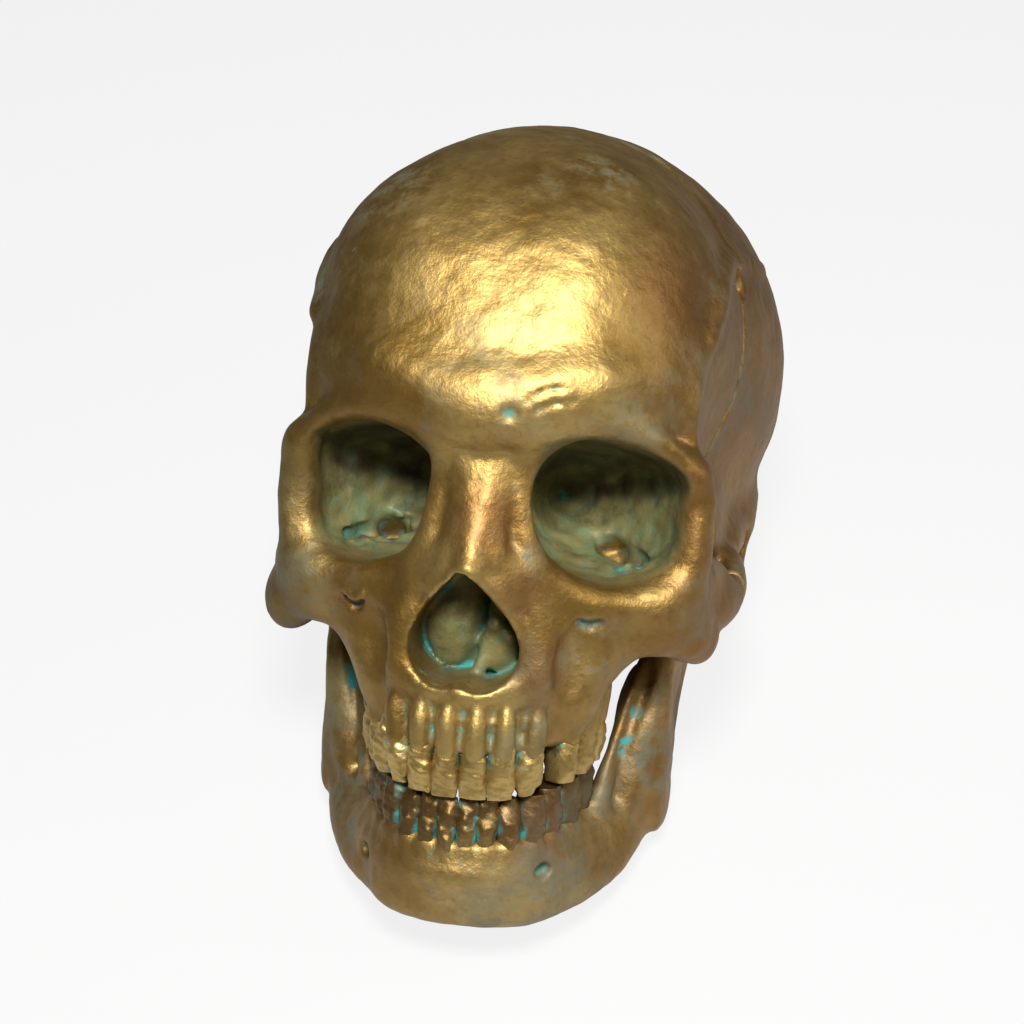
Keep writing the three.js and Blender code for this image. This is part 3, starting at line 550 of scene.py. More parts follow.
upper_row = tooth_row("upper")
lower_row = tooth_row("lower")
print(len(upper_row), "upper and", len(lower_row), "lower teeth, necks at",
      round(upper_row[6]["neck"], 1), "and", round(lower_row[6]["neck"], 1))

# %% [markdown]
# ## The head's clay
# The head is built in the order that a sculptor works: the braincase, the temples carved in behind
# the eyes, the brows, the nose, the cheeks and the upper jaw, then the hollows. Only the half with
# x >= 0 is shaped, and the other half is its mirror.

# %% Braincase and temples
SHELL_WALL = 5.0


def braincase(clay):
    clay.egg((0, 19, 46), (68.5, 71, 67), 10)
    clay.egg((0, -24, 52), (55, 66, 59), 18)
    clay.egg((22, -49, 62), (25, 33, 31), 20)
    clay.egg((0, -70, 47), (45, 21, 17), 14)
    clay.egg((0, 42, 24), (54, 49, 48), 22)
    clay.egg((0, 8, 6), (54, 52, 30), 18)
    clay.egg((0, 88, 26), (16, 6, 7), 10)
    clay.rope([(2, 86, 18), (24, 76, 14), (46, 54, 8), (57, 30, 4)], (2.6, 2.2), 7)


def temples(clay):
    clay.egg((72, -55, 27), (20.5, 30, 31), 4, carve=True)
    clay.egg((80, -40, 50), (19, 34, 32), 5, carve=True)
    clay.rope([(49.5, -70, 30), (47.8, -71.5, 39), (46.2, -69.5, 49), (45.2, -62.5, 60)],
              (1.4, 1.8, 1.2), 7)
    clay.laid_rope(clay.on_skin, [(-62, 60), (-50, 71), (-34, 78), (-14, 80), (8, 78)],
                   (1.6, 1.5, 1.2), 5)


print("braincase: eight lumps; temples: two hollows and a ridge each")

# %% Brows and the rims of the eye sockets
def brows(clay):
    clay.rope([(5, -91.2, 38.5), (16, -90.2, 38.6), (26, -88.3, 39.6), (36, -83.8, 38.4),
               (44, -78, 34), (49.5, -73, 28)], (3.4, 3.0, 3.4), 4.5)
    clay.rope([(6, -91.5, 44), (15, -91.2, 46), (26, -87.5, 48.5)], (5.2, 4.2), 10)
    clay.egg((0, -88.4, 41), (12, 6.5, 8.5), 9)


def socket_rims(clay):
    clay.rope([(49.5, -73, 28), (51.5, -69.5, 20), (51, -68.5, 10), (49, -70, 2), (46, -72.5, -5)],
              (3.4, 3.6, 4.2, 5.5), 5)
    clay.rope([(14, -86, 3), (22, -83.5, -3), (32, -80, -5.2), (41, -76, -4.5), (47, -71, -2)],
              (3.4, 3.9, 4.4), 5)
    clay.egg((42.5, -58.5, 12), (5.5, 19, 22), 6, turn=33)
    clay.egg((24, -56, 34), (22, 24, 7), 6)
    clay.egg((24, -60, -6), (20, 20, 6), 6)
    clay.egg((0, -62, 16), (11, 28, 22), 6)


print("brow ridge, arch over it, and four walls round each socket")

# %% Nose bones
def nose_bones(clay):
    clay.rope([(12, -89.5, 37), (9.5, -87.5, 28), (10.5, -88, 16), (12.5, -88.8, 6),
               (14.8, -88.3, -4), (16.8, -87.5, -14), (17, -87, -23)], (3.4, 3.8, 4.6), 5)
    clay.rope([(0, -89, 38), (0, -87.4, 31), (0, -90.4, 24), (0, -94.0, 15), (0, -97.2, 6.5),
               (0, -98.8, 3.6)], (4.4, 3.6, 3.0, 3.4, 3.2), 5)
    clay.rope([(3.6, -88.6, 27), (4.0, -92.2, 14), (5.6, -94.2, 6), (8.6, -92.6, -2)],
              (3.0, 3.2), 5)
    clay.egg((8, -90.5, 2), (4.5, 4, 6.5), 3)
    clay.rope([(0, -99, 3.6), (4.5, -97, 0), (8.6, -94, -5), (12.2, -91.5, -11), (14.4, -89.7, -17),
               (13.8, -89, -23), (9.5, -89.5, -27.6), (4.5, -91, -28.4), (0, -93.5, -27.5)],
              (1.7, 1.6, 1.8), 2)


print("nose: two side bones, a bridge and a thin rim round the hole")

# %% Upper jaw, with a ridge over each root
def gum_ropes(clay, half_row, levels, inward, ahead, blend):
    """Ropes behind the necks of half a row; levels pairs a height above them with extra thickness."""
    for rise, grow in levels:
        gum = [(*(t["spot"] - inward * t["out"][:2]), t["neck"] + rise) for t in half_row]
        radii = [t["thick"] / 2 + grow for t in half_row]
        clay.rope([(0, gum[0][1] - ahead, gum[0][2])] + gum, radii[:1] + radii, blend)


def upper_jaw(clay):
    clay.egg((0, -66, -10), (30, 21, 22), 10)
    clay.egg((20, -72, -22), (13, 13, 22), 10)
    half_row = [t for t in upper_row if t["spot"][0] > 0]
    gum_ropes(clay, half_row, ((3.4, -0.3), (9.0, -0.2), (16.0, 0.2)), inward=1.9, ahead=0.4, blend=3)
    clay.egg((0, -66, -26), (26, 28, 8), 6)
    for t in half_row:
        radius = t["width"] * 0.40
        foot = np.array((*t["spot"], t["neck"] + 1.6)) + t["out"] * (t["thick"] / 2 - radius + 0.7)
        top = foot + np.array((0, 0.5, 15.0)) - t["out"] * 0.6
        clay.rope([foot, (foot + top) / 2 + t["out"] * 1.0, top], (radius, radius, radius * 0.6), 1.0)


print("upper jaw follows", len(upper_row), "teeth")

# %% Cheeks
def cheeks(clay):
    clay.egg((44.5, -70, -8), (11.5, 8, 11), 5, turn=25)
    clay.egg((51, -61, -13), (5, 9, 8), 5, turn=25)
    clay.egg((28, -71, -13), (12, 9, 13), 7, turn=15)
    clay.rope([(48.5, -63.5, -15.5), (43, -66.5, -13.5), (36.5, -67, -15.5), (27, -65.5, -28.5),
               (24.2, -61, -40.5)], (4.2, 4.0, 4.0), 4)
    clay.rope([(49, -65, -8), (54.5, -57, -10), (58.5, -46, -9), (60.5, -33, -6), (56.5, -16, -2),
               (54, -4, 2)], (4.4, 4.0, 3.6), 5, tall=1.5)
    clay.rope([(49, -67, 3), (53, -57, -1), (56, -46, -3.5)], (4.0, 4.2, 3.4), 4, tall=1.7)
    clay.egg((26.5, -86.6, -21), (5.5, 4.5, 9), 5, carve=True)


print("cheek bone, its arch to the ear and the hollow beside the nose")

# %% Ear region and base
def base(clay):
    clay.rope([(55, -10, 2), (58.5, 8, 4), (59, 22, 10)], (5, 5, 4), 8)
    clay.egg((50, -22, -3), (11, 6, 5), 5)
    clay.egg((48.5, -28, 9), (7.5, 22, 12), 6)
    clay.egg((53, 15, -13), (9.5, 12.5, 18), 8, lean=12)
    clay.egg((40, 4, -8), (20, 9, 12), 8)
    clay.egg((0, -22, -8), (22, 26, 16), 10)
    clay.rope([(13, -44, -8), (16, -43, -34)], (4, 3), 5)
    clay.egg((13, 10, -23), (6, 11, 5), 5, turn=-18)


print("base: ear rims, knobs behind the ears and the two knuckles beside the neck hole")

# %% [markdown]
# ## Hollows
# The eye sockets are cones that narrow to the back and to the middle, with an outline that is neither
# round nor square, so the outline is a radius that changes with the angle. The nose hole is made the
# same way. The inside of the head is the braincase again, one wall smaller.

# %% Cut the sockets, the nose and the inside
SOCKET_CENTRE = np.array((30.3, -80.5, 17.5))
SOCKET_APEX = np.array((14.0, -42.0, 15.0))
SOCKET_DEPTH = 43.0
SOCKET_OUTLINE = ((0, 18.6), (28, 19.8), (60, 16.8), (88, 16.4), (115, 18.8), (150, 18.8),
                  (180, 18.3), (210, 17.4), (240, 16.8), (270, 17.2), (300, 18.2), (328, 20.2))
NOSE_LEVEL = -15.0
NOSE_BACK = -72.0
NOSE_MIDDLE = -1.5
NOSE_HALF = ((90, 18.4), (74, 15.2), (52, 12.7), (22, 12.6), (-4, 13.6), (-32, 14.5), (-62, 13.8),
             (-90, 11.4))
HOLE_BLEND = 0.6
NOSE_OUTLINE = NOSE_HALF + tuple((180 - a, r) for a, r in NOSE_HALF[1:-1])


def eye_socket(x, y, z):
    way = unit(SOCKET_APEX - SOCKET_CENTRE)
    across = unit(np.cross((0, 0, 1), -way))
    upward = np.cross(-way, across)
    x, y, z = x - SOCKET_CENTRE[0], y - SOCKET_CENTRE[1], z - SOCKET_CENTRE[2]
    deep = (way[0] * x + way[1] * y + way[2] * z) / SOCKET_DEPTH
    u = across[0] * x + across[1] * y + across[2] * z
    v = upward[0] * x + upward[1] * y + upward[2] * z
    size = np.where(deep < 0, 1 - 0.1 * deep, 1 + 0.3 * deep - 1.3 * deep ** 2)
    edge = round_outline(np.degrees(np.arctan2(v, u)), SOCKET_OUTLINE)
    wall = (np.hypot(u, v) - edge * size) * 0.95
    return np.maximum(wall, (deep - 1) * SOCKET_DEPTH).astype(np.float32)


def nose_hole(x, y, z):
    angle = np.degrees(np.arctan2(z - NOSE_LEVEL, x))
    knots = sorted(((a + 360) % 360, r) for a, r in NOSE_OUTLINE)
    wall = np.hypot(x, z - NOSE_LEVEL) - round_outline(angle % 360, knots)
    return np.maximum(wall + 0 * y, y - NOSE_BACK).astype(np.float32)


def hollows(clay, case):
    part, (x, y, z) = clay.window((0, -114, -30), (60, -30, 45))
    clay.carve(part, eye_socket(x, y, z), HOLE_BLEND)
    part, (x, y, z) = clay.whole()
    inside = np.maximum(case + SHELL_WALL, 4 - eye_socket(x, y, z))
    clay.carve(part, np.maximum(inside, -10 - z), 2)
    clay.rope([(0, 24, -45), (0, 24, 14)], (15.5,), 2, carve=True)
    clay.rope([(66, 2.5, -1), (42, 2.5, -1)], (4.5,), 1.5, carve=True)
    clay.rope([(40, -62, 3.5), (34.5, -57, 3.0), (29, -53, 4), (25.5, -50.5, 6)],
              (1.4, 2.6, 2.2, 1.2), 1.0, carve=True)
    clay.rope([(37.5, -64, 1.4), (34.5, -61.5, 0.2), (32, -59, 1.4), (29, -57.5, 0.6)],
              (0.8, 1.6, 1.0, 1.3), 1.4)
    clay.rope([(36, -60.5, 2.4), (33.5, -62.5, 2.0)], (0.7, 1.0), 1.2)
    clay.egg((0, -66, -45), (19, 22, 10), 4, carve=True)
    clay.egg((0, -38, -34), (13, 16, 15), 4, carve=True)


print("sockets", SOCKET_DEPTH, "mm deep, walls", SHELL_WALL, "mm")

# %% Room for the jaw's heads
SWING_DEGREES = (0, 9, 18)
HEAD_ROOM = 5.25


def jaw_room(clay):
    clay.rope([(40, -12, -5), (60, -12, -5)], (HEAD_ROOM,), 1.0, carve=True)
    neck = np.array(((49.5, -12, -8), (48.5, -10, -22), (47.5, -10, -38)))
    for degrees in SWING_DEGREES:
        c, s = cos_sin(degrees)
        off = neck - HINGE
        swung = np.stack((off[:, 0], c * off[:, 1] - s * off[:, 2], s * off[:, 1] + c * off[:, 2]), 1)
        clay.rope(swung + HINGE, (6.0,), 2, carve=True)


print("the jaw's necks swing back through", SWING_DEGREES[-1], "degrees")

# %% [markdown]
# ## What the two sides don't share
# The skull was modelled by hand before it was cast, so its sides differ a little: the right cheek
# hangs lower, the right socket has a thicker outer rim and the left one reaches further in, the left
# cheek has a corner, the walls inside the nose are uneven, and glue stands on the seam's left end.

# %% One-sided forms
SEAM_CROWN = (-8.0, 113.0)
SEAM_BEND = (-38.0, 34.0)


def seam_at(z):
    """Where the seam runs at one height, as y and z."""
    share = (z - SEAM_BEND[1]) / (SEAM_CROWN[1] - SEAM_BEND[1])
    return SEAM_BEND[0] + share * (SEAM_CROWN[0] - SEAM_BEND[0]), z


def one_sided_forms(clay):
    part, (x, y, z) = clay.window((-24, -114, -34), (22, -60, 8))
    clay.carve(part, nose_hole(x - NOSE_MIDDLE, y, z), HOLE_BLEND)
    clay.egg((-7.5, -72.5, -9), (8.5, 6, 17), 2)
    clay.rope([(2.4, -73.5, 1), (2.8, -74.5, -9), (2.2, -75.5, -18), (0.6, -77, -25)],
              (0.8, 1.0, 1.4), 2)
    clay.egg((6.4, -75.5, -9), (2.8, 4, 2.2), 1.4)
    clay.egg((4.8, -77, -13), (1.8, 4, 2.4), 1.4)
    clay.egg((7.8, -76, -16), (2.6, 4.5, 2.6), 1.4)
    clay.egg((5, -74, -20), (5, 4, 6), 2)
    clay.egg((-1.8, -91.2, -27.6), (2.6, 2.4, 1.8), 1.4)
    clay.egg((-53.5, -60, -16), (5.5, 8, 8), 5, turn=-25)
    clay.rope([(-47.4, -74.6, 27), (-48.4, -71.6, 19), (-47.8, -70.6, 9), (-45.4, -72.6, 1)],
              (2.4, 3.0, 2.6), 3)
    clay.egg((53, -56, -16.5), (4.6, 8, 6.5), 4, turn=25)
    bead = [seam_at(z) for z in (106, 98, 88, 78)]
    clay.laid_rope(clay.on_skin, bead, (1.0, 1.2, 1.0), 1.2, lift=0.3)
    dip = clay.on_skin(*seam_at(74))
    if dip:
        clay.egg(dip, (2.0, 3.6, 4.0), 2, carve=True)
    for wrinkle in (((11, 45), (14.5, 47.4), (19, 48.4)), ((13, 42.6), (17, 44.6), (22, 45.4))):
        clay.laid_rope(clay.on_front, wrinkle, (0.1, 0.32, 0.1), 1.6, carve=True)
    dimple = clay.on_front(7, 41.5)
    if dimple:
        clay.egg(dimple, (1.8, 0.8, 1.5), 1.4, carve=True)
    part, (x, y, z) = clay.window((5, -114, -30), (30, -60, 45))
    clay.carve(part, eye_socket(x + 1.6, y, z - 0.6), HOLE_BLEND)
    clay.laid_rope(clay.on_front, [(-34, -9.2), (-31.2, -11.4), (-28.6, -9.0)],
                   (0.8, 1.4, 0.7), 0.8, carve=True)
    clay.laid_rope(clay.on_front, [(-33.5, -7.8), (-31, -9.2), (-28.6, -7.6)],
                   (0.8, 0.9, 0.8), 1.0, lift=0.2)
    clay.laid_rope(clay.on_front, [(25.6, -9.6), (28.2, -10.4), (30.6, -9.2)],
                   (1.0, 1.5, 1.0), 1.0, carve=True)


print("one-sided: nose hole and its walls, cheeks, right rim, glue bead, wrinkles and nerve holes")

# %% [markdown]
# ## From clay to a mesh
# The surface is where the distance is zero. The grid tool in Blender draws it in small squares, which
# are as even as a scan. While the clay is still at hand, each point also learns how deep it lies in a
# crease: the distance is averaged around the point, and in a groove that average is below zero. The
# paint uses it later, because patina gathers in grooves and rubs off on ridges, and because the paint
# darkens grooves as painted shade.

# %% Measure creases
CREASE_REACH = 2.2
HOLLOW_REACH = 7.0


def averaged(field, cells):
    """The field averaged over a box, twice, so that it fades out evenly."""
    for axis in (0, 1, 2, 0, 1, 2):
        padding = [(0, 0)] * 3
        padding[axis] = (cells + 1, cells)
        total = np.cumsum(np.pad(field, padding, mode="edge"), axis=axis, dtype=np.float64)
        upper = np.take(total, range(2 * cells + 1, total.shape[axis]), axis=axis)
        lower = np.take(total, range(0, total.shape[axis] - 2 * cells - 1), axis=axis)
        field = ((upper - lower) / (2 * cells + 1)).astype(np.float32)
    return field


def sampled(field, clay, points):
    """The field's value at points, between the grid's own points."""
    place = np.clip((points - clay.low) / clay.step, 0, np.array(field.shape) - 1.001)
    i, j, k = np.floor(place).astype(int).T
    u, v, w = (place - np.floor(place)).T
    value = 0
    for a in (0, 1):
        for b in (0, 1):
            for c in (0, 1):
                share = (u if a else 1 - u) * (v if b else 1 - v) * (w if c else 1 - w)
                value = value + share * field[i + a, j + b, k + c]
    return value


def crease_depth(clay, points, reach):
    """Above zero in grooves and below zero on ridges that are about as wide as reach."""
    near = np.clip(clay.depth, -reach, reach)
    cells = max(1, round(reach / clay.step / 2))
    return -sampled(averaged(near, cells), clay, points) / reach


print("creases reach", CREASE_REACH, "mm and hollows", HOLLOW_REACH, "mm")

# %% Draw the surface
BAND = 4.0
SMALL_ISLAND = 400


def without_islands(mesh):
    """Deletes loose crumbs of a few squares."""
    shape = bmesh.new()
    shape.from_mesh(mesh)
    seen = set()
    crumbs = []
    for start in shape.verts:
        if start.index in seen:
            continue
        island = [start]
        seen.add(start.index)
        for vert in island:
            for edge in vert.link_edges:
                other = edge.other_vert(vert)
                if other.index not in seen:
                    seen.add(other.index)
                    island.append(other)
        if len(island) < SMALL_ISLAND:
            crumbs += island
    bmesh.ops.delete(shape, geom=crumbs, context="VERTS")
    shape.to_mesh(mesh)
    shape.free()


def work_on(piece):
    """The next tools work on this piece alone."""
    deselect_all()
    piece.select_set(True)
    bpy.context.view_layer.objects.active = piece


def new_piece(name, data):
    piece = bpy.data.objects.new(name, data)
    bpy.context.scene.collection.objects.link(piece)
    work_on(piece)
    return piece


def add_layer(mesh, layer, values):
    mesh.attributes.new(layer, "FLOAT", "POINT").data.foreach_set("value", values.astype(np.float32))


def skin(clay, name, marks=None):
    """The clay's surface as a mesh object, with the depth of its creases as attributes."""
    grid = openvdb.FloatGrid(background=BAND)
    grid.copyFromArray(np.clip(clay.depth, -BAND, BAND))
    points, squares = grid.convertToQuads(0.0)
    points = points * clay.step + clay.low
    mesh = bpy.data.meshes.new(name)
    mesh.from_pydata(to_frame(points).tolist(), [], squares[:, ::-1].tolist())
    add_layer(mesh, "crease", crease_depth(clay, points, CREASE_REACH))
    add_layer(mesh, "hollow", crease_depth(clay, points, HOLLOW_REACH))
    if marks:
        for layer, values in zip(("socket", "brow_shadow"), marks(points)):
            add_layer(mesh, layer, values)
    without_islands(mesh)
    piece = new_piece(name, mesh)
    bpy.ops.object.shade_smooth()
    print(name, len(mesh.vertices), "points", len(mesh.polygons), "squares")
    return piece


print("meshes keep", BAND, "mm of clay on both sides of the surface")

# %% [markdown]
# ## Two shells
# The head is two castings that meet at a seam over the crown. The seam is cut through the clay with a
# slightly rounded edge on both sides, so that it shows as a fine line, as it does on the real one.
# The face gets a finer grid than the back, because it is what people look at. Last, shallow dents go
# over the whole head, and rougher ones inside the sockets and the nose, which makes their edges ragged.

# %% Cut the head at its seam
SEAM_HALF_GAP = 0.15
SEAM_ROUNDING = 1.0
FACE_STEP = 0.9
CASE_STEP = 1.15
FLAT_ROUNDING = 0.6
RIGHT_RIM = 46.0
RAGGED_PLACES = (((31, -54, 9), 27), ((-31, -54, 9), 27), ((-1.5, -70, -11), 19))


def ahead_of_seam(y, z):
    """Above zero in front of the seam, in millimetres."""
    run = unit(np.array(SEAM_CROWN) - np.array(SEAM_BEND))
    tilted = run[0] * (z - SEAM_BEND[1]) - run[1] * (y - SEAM_BEND[0])
    return np.maximum(tilted, SEAM_BEND[0] - y + 0 * z)


def head_clay(step, y_low, y_high):
    clay = Clay((0, y_low, -58), (78, y_high, 118), step)
    clay.soft_middle = 5.0
    braincase(clay)
    temples(clay)
    case = clay.depth.copy()
    brows(clay)
    clay.soft_middle = 0.0
    socket_rims(clay)
    nose_bones(clay)
    upper_jaw(clay)
    cheeks(clay)
    base(clay)
    hollows(clay, case)
    jaw_room(clay)
    whole = clay.both_sides()
    one_sided_forms(whole)
    whole.make_uneven(DENTS)
    for middle, radius in RAGGED_PLACES:
        whole.make_uneven(RAGGED, np.array(middle), radius)
    return whole


def off_the_floor(clay):
    """Files the clay flat where the skull rests on the floor."""
    part, (x, y, z) = clay.whole()
    height = hinge_point[2] / MM + (y - HINGE[1]) * AXES[1][2] + (z - HINGE[2]) * AXES[2][2] + 0 * x
    clay.carve(part, height.astype(np.float32), FLAT_ROUNDING)


def ramp(value, width):
    """Rises from zero to one while the value rises from zero to width."""
    return np.clip(value / width, 0, 1)


def socket_marks(points):
    """Two masks: one inside the eye sockets and the nose, and one of painted shadow under the brows."""
    x, y, z = np.abs(points[:, 0]), points[:, 1], points[:, 2]
    eyes = eye_socket(x, y, z)
    deep = np.minimum(eyes, nose_hole(x, y, z) + np.maximum(0, -86 - y))
    inside = ramp(1.2 - deep, 2.0) * ramp(y + 85, 6)
    inside = np.maximum(inside, ramp(6 - eyes, 3) * ramp(y + 72, 3))
    # Painted shadow: the top of each eye socket, under the brow, is marked to be painted dark.
    under = ramp(z - SOCKET_CENTRE[2] - 5 + 0.25 * (y + 80), 3.5)
    under = under * ramp(0.9 - eyes, 1.2) * ramp(y + 89, 3)
    within = np.where(points[:, 0] < 0, ramp(RIGHT_RIM - x, 3), 1)
    return inside * within, under * within


def shell(name, step, y_low, y_high, front):
    clay = head_clay(step, y_low, y_high)
    part, (x, y, z) = clay.whole()
    side = 1 if front else -1
    cut = side * ahead_of_seam(y, z) - SEAM_HALF_GAP + 0 * x
    clay.carve(part, cut.astype(np.float32), SEAM_ROUNDING)
    off_the_floor(clay)
    return skin(clay, name, socket_marks)


face = shell("face", FACE_STEP, -114, -2, True)
case_back = shell("braincase", CASE_STEP, -42, 98, False)

# %% [markdown]
# ## Lower jaw
# The jaw is a horseshoe with two upright branches. Its lower border, its tooth ridge and the two
# ridges that run up the front of each branch are ropes of clay, with flat eggs between them.

# %% Shape the lower jaw
JAW_STEP = 0.75


def jaw_body(clay):
    border = [(0, -79.5, -84.5), (10, -78.5, -84.8), (20, -73.5, -84.4), (28.5, -65, -82.6),
              (34.5, -55.5, -79), (38, -47, -74.6), (40.5, -37, -70.5), (41.5, -27, -70)]
    clay.rope(border, (5.3, 5.3, 5.0, 4.6), 7)
    half_row = [t for t in lower_row if t["spot"][0] > 0]
    gum_ropes(clay, half_row, ((-3.4, -0.4), (-9.0, 1.0)), inward=0.4, ahead=0.3, blend=4)
    clay.rope([(0, -80.5, -77), (12, -79, -77), (22, -70.5, -76), (29.5, -58, -73), (34.5, -47, -67)],
              (5.6, 5.4, 5.2), 8)
    clay.egg((0, -83, -80), (9, 5, 9), 8)
    clay.egg((12, -80, -83.5), (8, 5, 5), 9)
    for t in half_row:
        radius = t["width"] * 0.38
        foot = np.array((*t["spot"], t["neck"] - 2.4)) + t["out"] * (t["thick"] / 2 - radius - 0.5)
        tip = foot + np.array((0, 0.5, -8.0)) - t["out"] * 0.6
        clay.rope([foot, tip], (radius, radius * 0.6), 2.2)


def jaw_branch(clay):
    clay.rope([(49.2, -11.5, -9), (47.4, -10, -24), (44, -12, -45), (42.6, -17, -62), (41.2, -24, -70)],
              (3.6, 3.8, 4.4), 5)
    clay.rope([(46.3, -40, -1), (45.4, -41, -14), (43.4, -42.2, -33), (40.8, -44, -46), (38, -47, -58)],
              (2.6, 2.8, 3.0), 3)
    clay.rope([(40.5, -41, -25), (37, -44, -36), (33.2, -50, -54), (31, -55, -64)],
              (1.7, 2.0, 3.2), 2.5)
    clay.egg((43.8, -27, -48), (3.9, 17.5, 27), 6, turn=5)
    clay.egg((38.2, -43.5, -48), (5.5, 4.5, 20), 3, lean=-18)
    clay.egg((46, -25, -22), (2.9, 12.5, 15), 4, turn=3)
    clay.egg((43, -33, -62), (3.9, 12, 13), 6, turn=5)
    clay.egg((46.5, -25.5, -2), (9, 9.5, 12.5), 3, carve=True)
    clay.rope([(41, -46, -28), (38.6, -47.5, -40), (36.4, -51, -50), (35, -55, -57)],
              (1.6, 1.7, 1.3), 1.4, carve=True)


def jaw_heads(clay):
    clay.rope([(43.5, -12, -5), (56.5, -12, -5)], (4.5,), 2.5)


def jaw_clay():
    clay = Clay((0, -102, -100), (64, 2, 8), JAW_STEP)
    jaw_body(clay)
    jaw_branch(clay)
    jaw_heads(clay)
    whole = clay.both_sides()
    for x, z in ((-25.8, -76.3), (21.5, -74)):
        spot = whole.on_front(x, z)
        whole.egg(spot, (2.2, 3.2, 2.0), 1.2, carve=True)
    whole.make_uneven(DENTS)
    off_the_floor(whole)
    return whole


jaw = skin(jaw_clay(), "lower_jaw_bone")

# %% [markdown]
# ## Teeth
# Each tooth is a separate casting. A tooth starts as a small box, which is its biting edge, and is
# pulled out ring by ring to the neck and the tip of the root, as by hand. A grinding tooth also gets
# a dip in its crown. One of each kind is modelled and copied, and each copy is stretched to the size
# of its own solid, leans and stands a little differently, and is chipped like the rest of the cast.

# %% Model one tooth of each kind
TOOTH_RINGS = {
    "incisor": ((0.05, 0.90, 0.36), (0.18, 1.0, 0.60), (0.34, 0.99, 0.88), (0.48, 0.93, 1.0),
                (0.58, 0.90, 0.96), (0.78, 0.66, 0.74), (1.0, 0.36, 0.36)),
    "canine": ((0.05, 0.58, 0.36), (0.16, 0.95, 0.64), (0.32, 1.0, 0.94), (0.48, 0.93, 1.0),
               (0.58, 0.90, 0.97), (0.78, 0.66, 0.78), (1.0, 0.36, 0.36)),
    "grinder": ((0.06, 0.90, 0.80), (0.20, 1.0, 0.98), (0.36, 0.99, 1.0), (0.50, 0.94, 0.96),
                (0.58, 0.88, 0.90), (0.78, 0.66, 0.70), (1.0, 0.36, 0.36)),
}
CROWN_INSET = 0.2
CROWN_DIP = 0.07
EDGE_INSET = 0.06
ROUNDING_LEVELS = 3


def face_across(piece, level):
    """Selects only the faces at one height of a piece that is in edit mode."""
    shape = bmesh.from_edit_mesh(piece.data)
    for part in shape.faces:
        flat = all(abs(v.co.z - level) < 1e-5 for v in part.verts)
        part.select_set(flat)
    shape.select_flush(True)
    bmesh.update_edit_mesh(piece.data)


def pull_out(piece, level, rise, wide, deep):
    """Extrudes the face at one height by rise, and widens and deepens its new end."""
    face_across(piece, level)
    bpy.ops.mesh.extrude_region_move(TRANSFORM_OT_translate={"value": (0, 0, rise)})
    bpy.ops.transform.resize(value=(wide, deep, 1))


def apply_modifier(piece, kind, **settings):
    modifier = piece.modifiers.new(kind.lower(), kind)
    for name, value in settings.items():
        setattr(modifier, name, value)
    bpy.ops.object.modifier_apply(modifier=modifier.name)


def tooth_pattern(kind):
    """A tooth in a unit box, with its biting edge at z 0 and its root's tip at z 1."""
    deselect_all()
    rings = TOOTH_RINGS[kind]
    bpy.ops.mesh.primitive_cube_add(size=1, location=(0, 0, rings[0][0] / 2))
    piece = bpy.context.object
    piece.scale = (rings[0][1], rings[0][2], rings[0][0])
    bpy.ops.object.transform_apply(location=True, rotation=False, scale=True)
    bpy.ops.object.mode_set(mode="EDIT")
    bpy.ops.mesh.select_mode(type="FACE")
    for (low, wide, deep), (high, wider, deeper) in zip(rings, rings[1:]):
        pull_out(piece, low, high - low, wider / wide, deeper / deep)
    face_across(piece, 0)
    if kind == "grinder":
        bpy.ops.mesh.inset(thickness=CROWN_INSET)
        bpy.ops.transform.translate(value=(0, 0, CROWN_DIP))
    else:
        bpy.ops.mesh.inset(thickness=EDGE_INSET)
    bpy.ops.object.mode_set(mode="OBJECT")
    apply_modifier(piece, "SUBSURF", levels=ROUNDING_LEVELS, render_levels=ROUNDING_LEVELS)
    piece.name = "pattern_" + kind
    print(kind, "pattern:", len(piece.data.vertices), "points")
    return piece


patterns = {kind: tooth_pattern(kind) for kind in TOOTH_RINGS}

# %% Copy the teeth to their places
CHIPS = dent_waves(12, 1.8, 6, 0.17)
LEAN_SHARE = 0.07
STAND_OUT = 0.25
SHORT_SHARE = 0.012
UPPER_SPREAD, LOWER_SPREAD = 1.15, 1.24
THICKER = 1.04
# Wear lowers each tooth's crease layer: more rubbed gold, and less painted shade on its sides.
UPPER_WEAR_LESS_SHADE, LOWER_WEAR_LESS_SHADE = 0.14, 0.05


def kind_of(name):
    for kind in ("incisor", "canine"):
        if name.endswith(kind):
            return kind
    return "grinder"


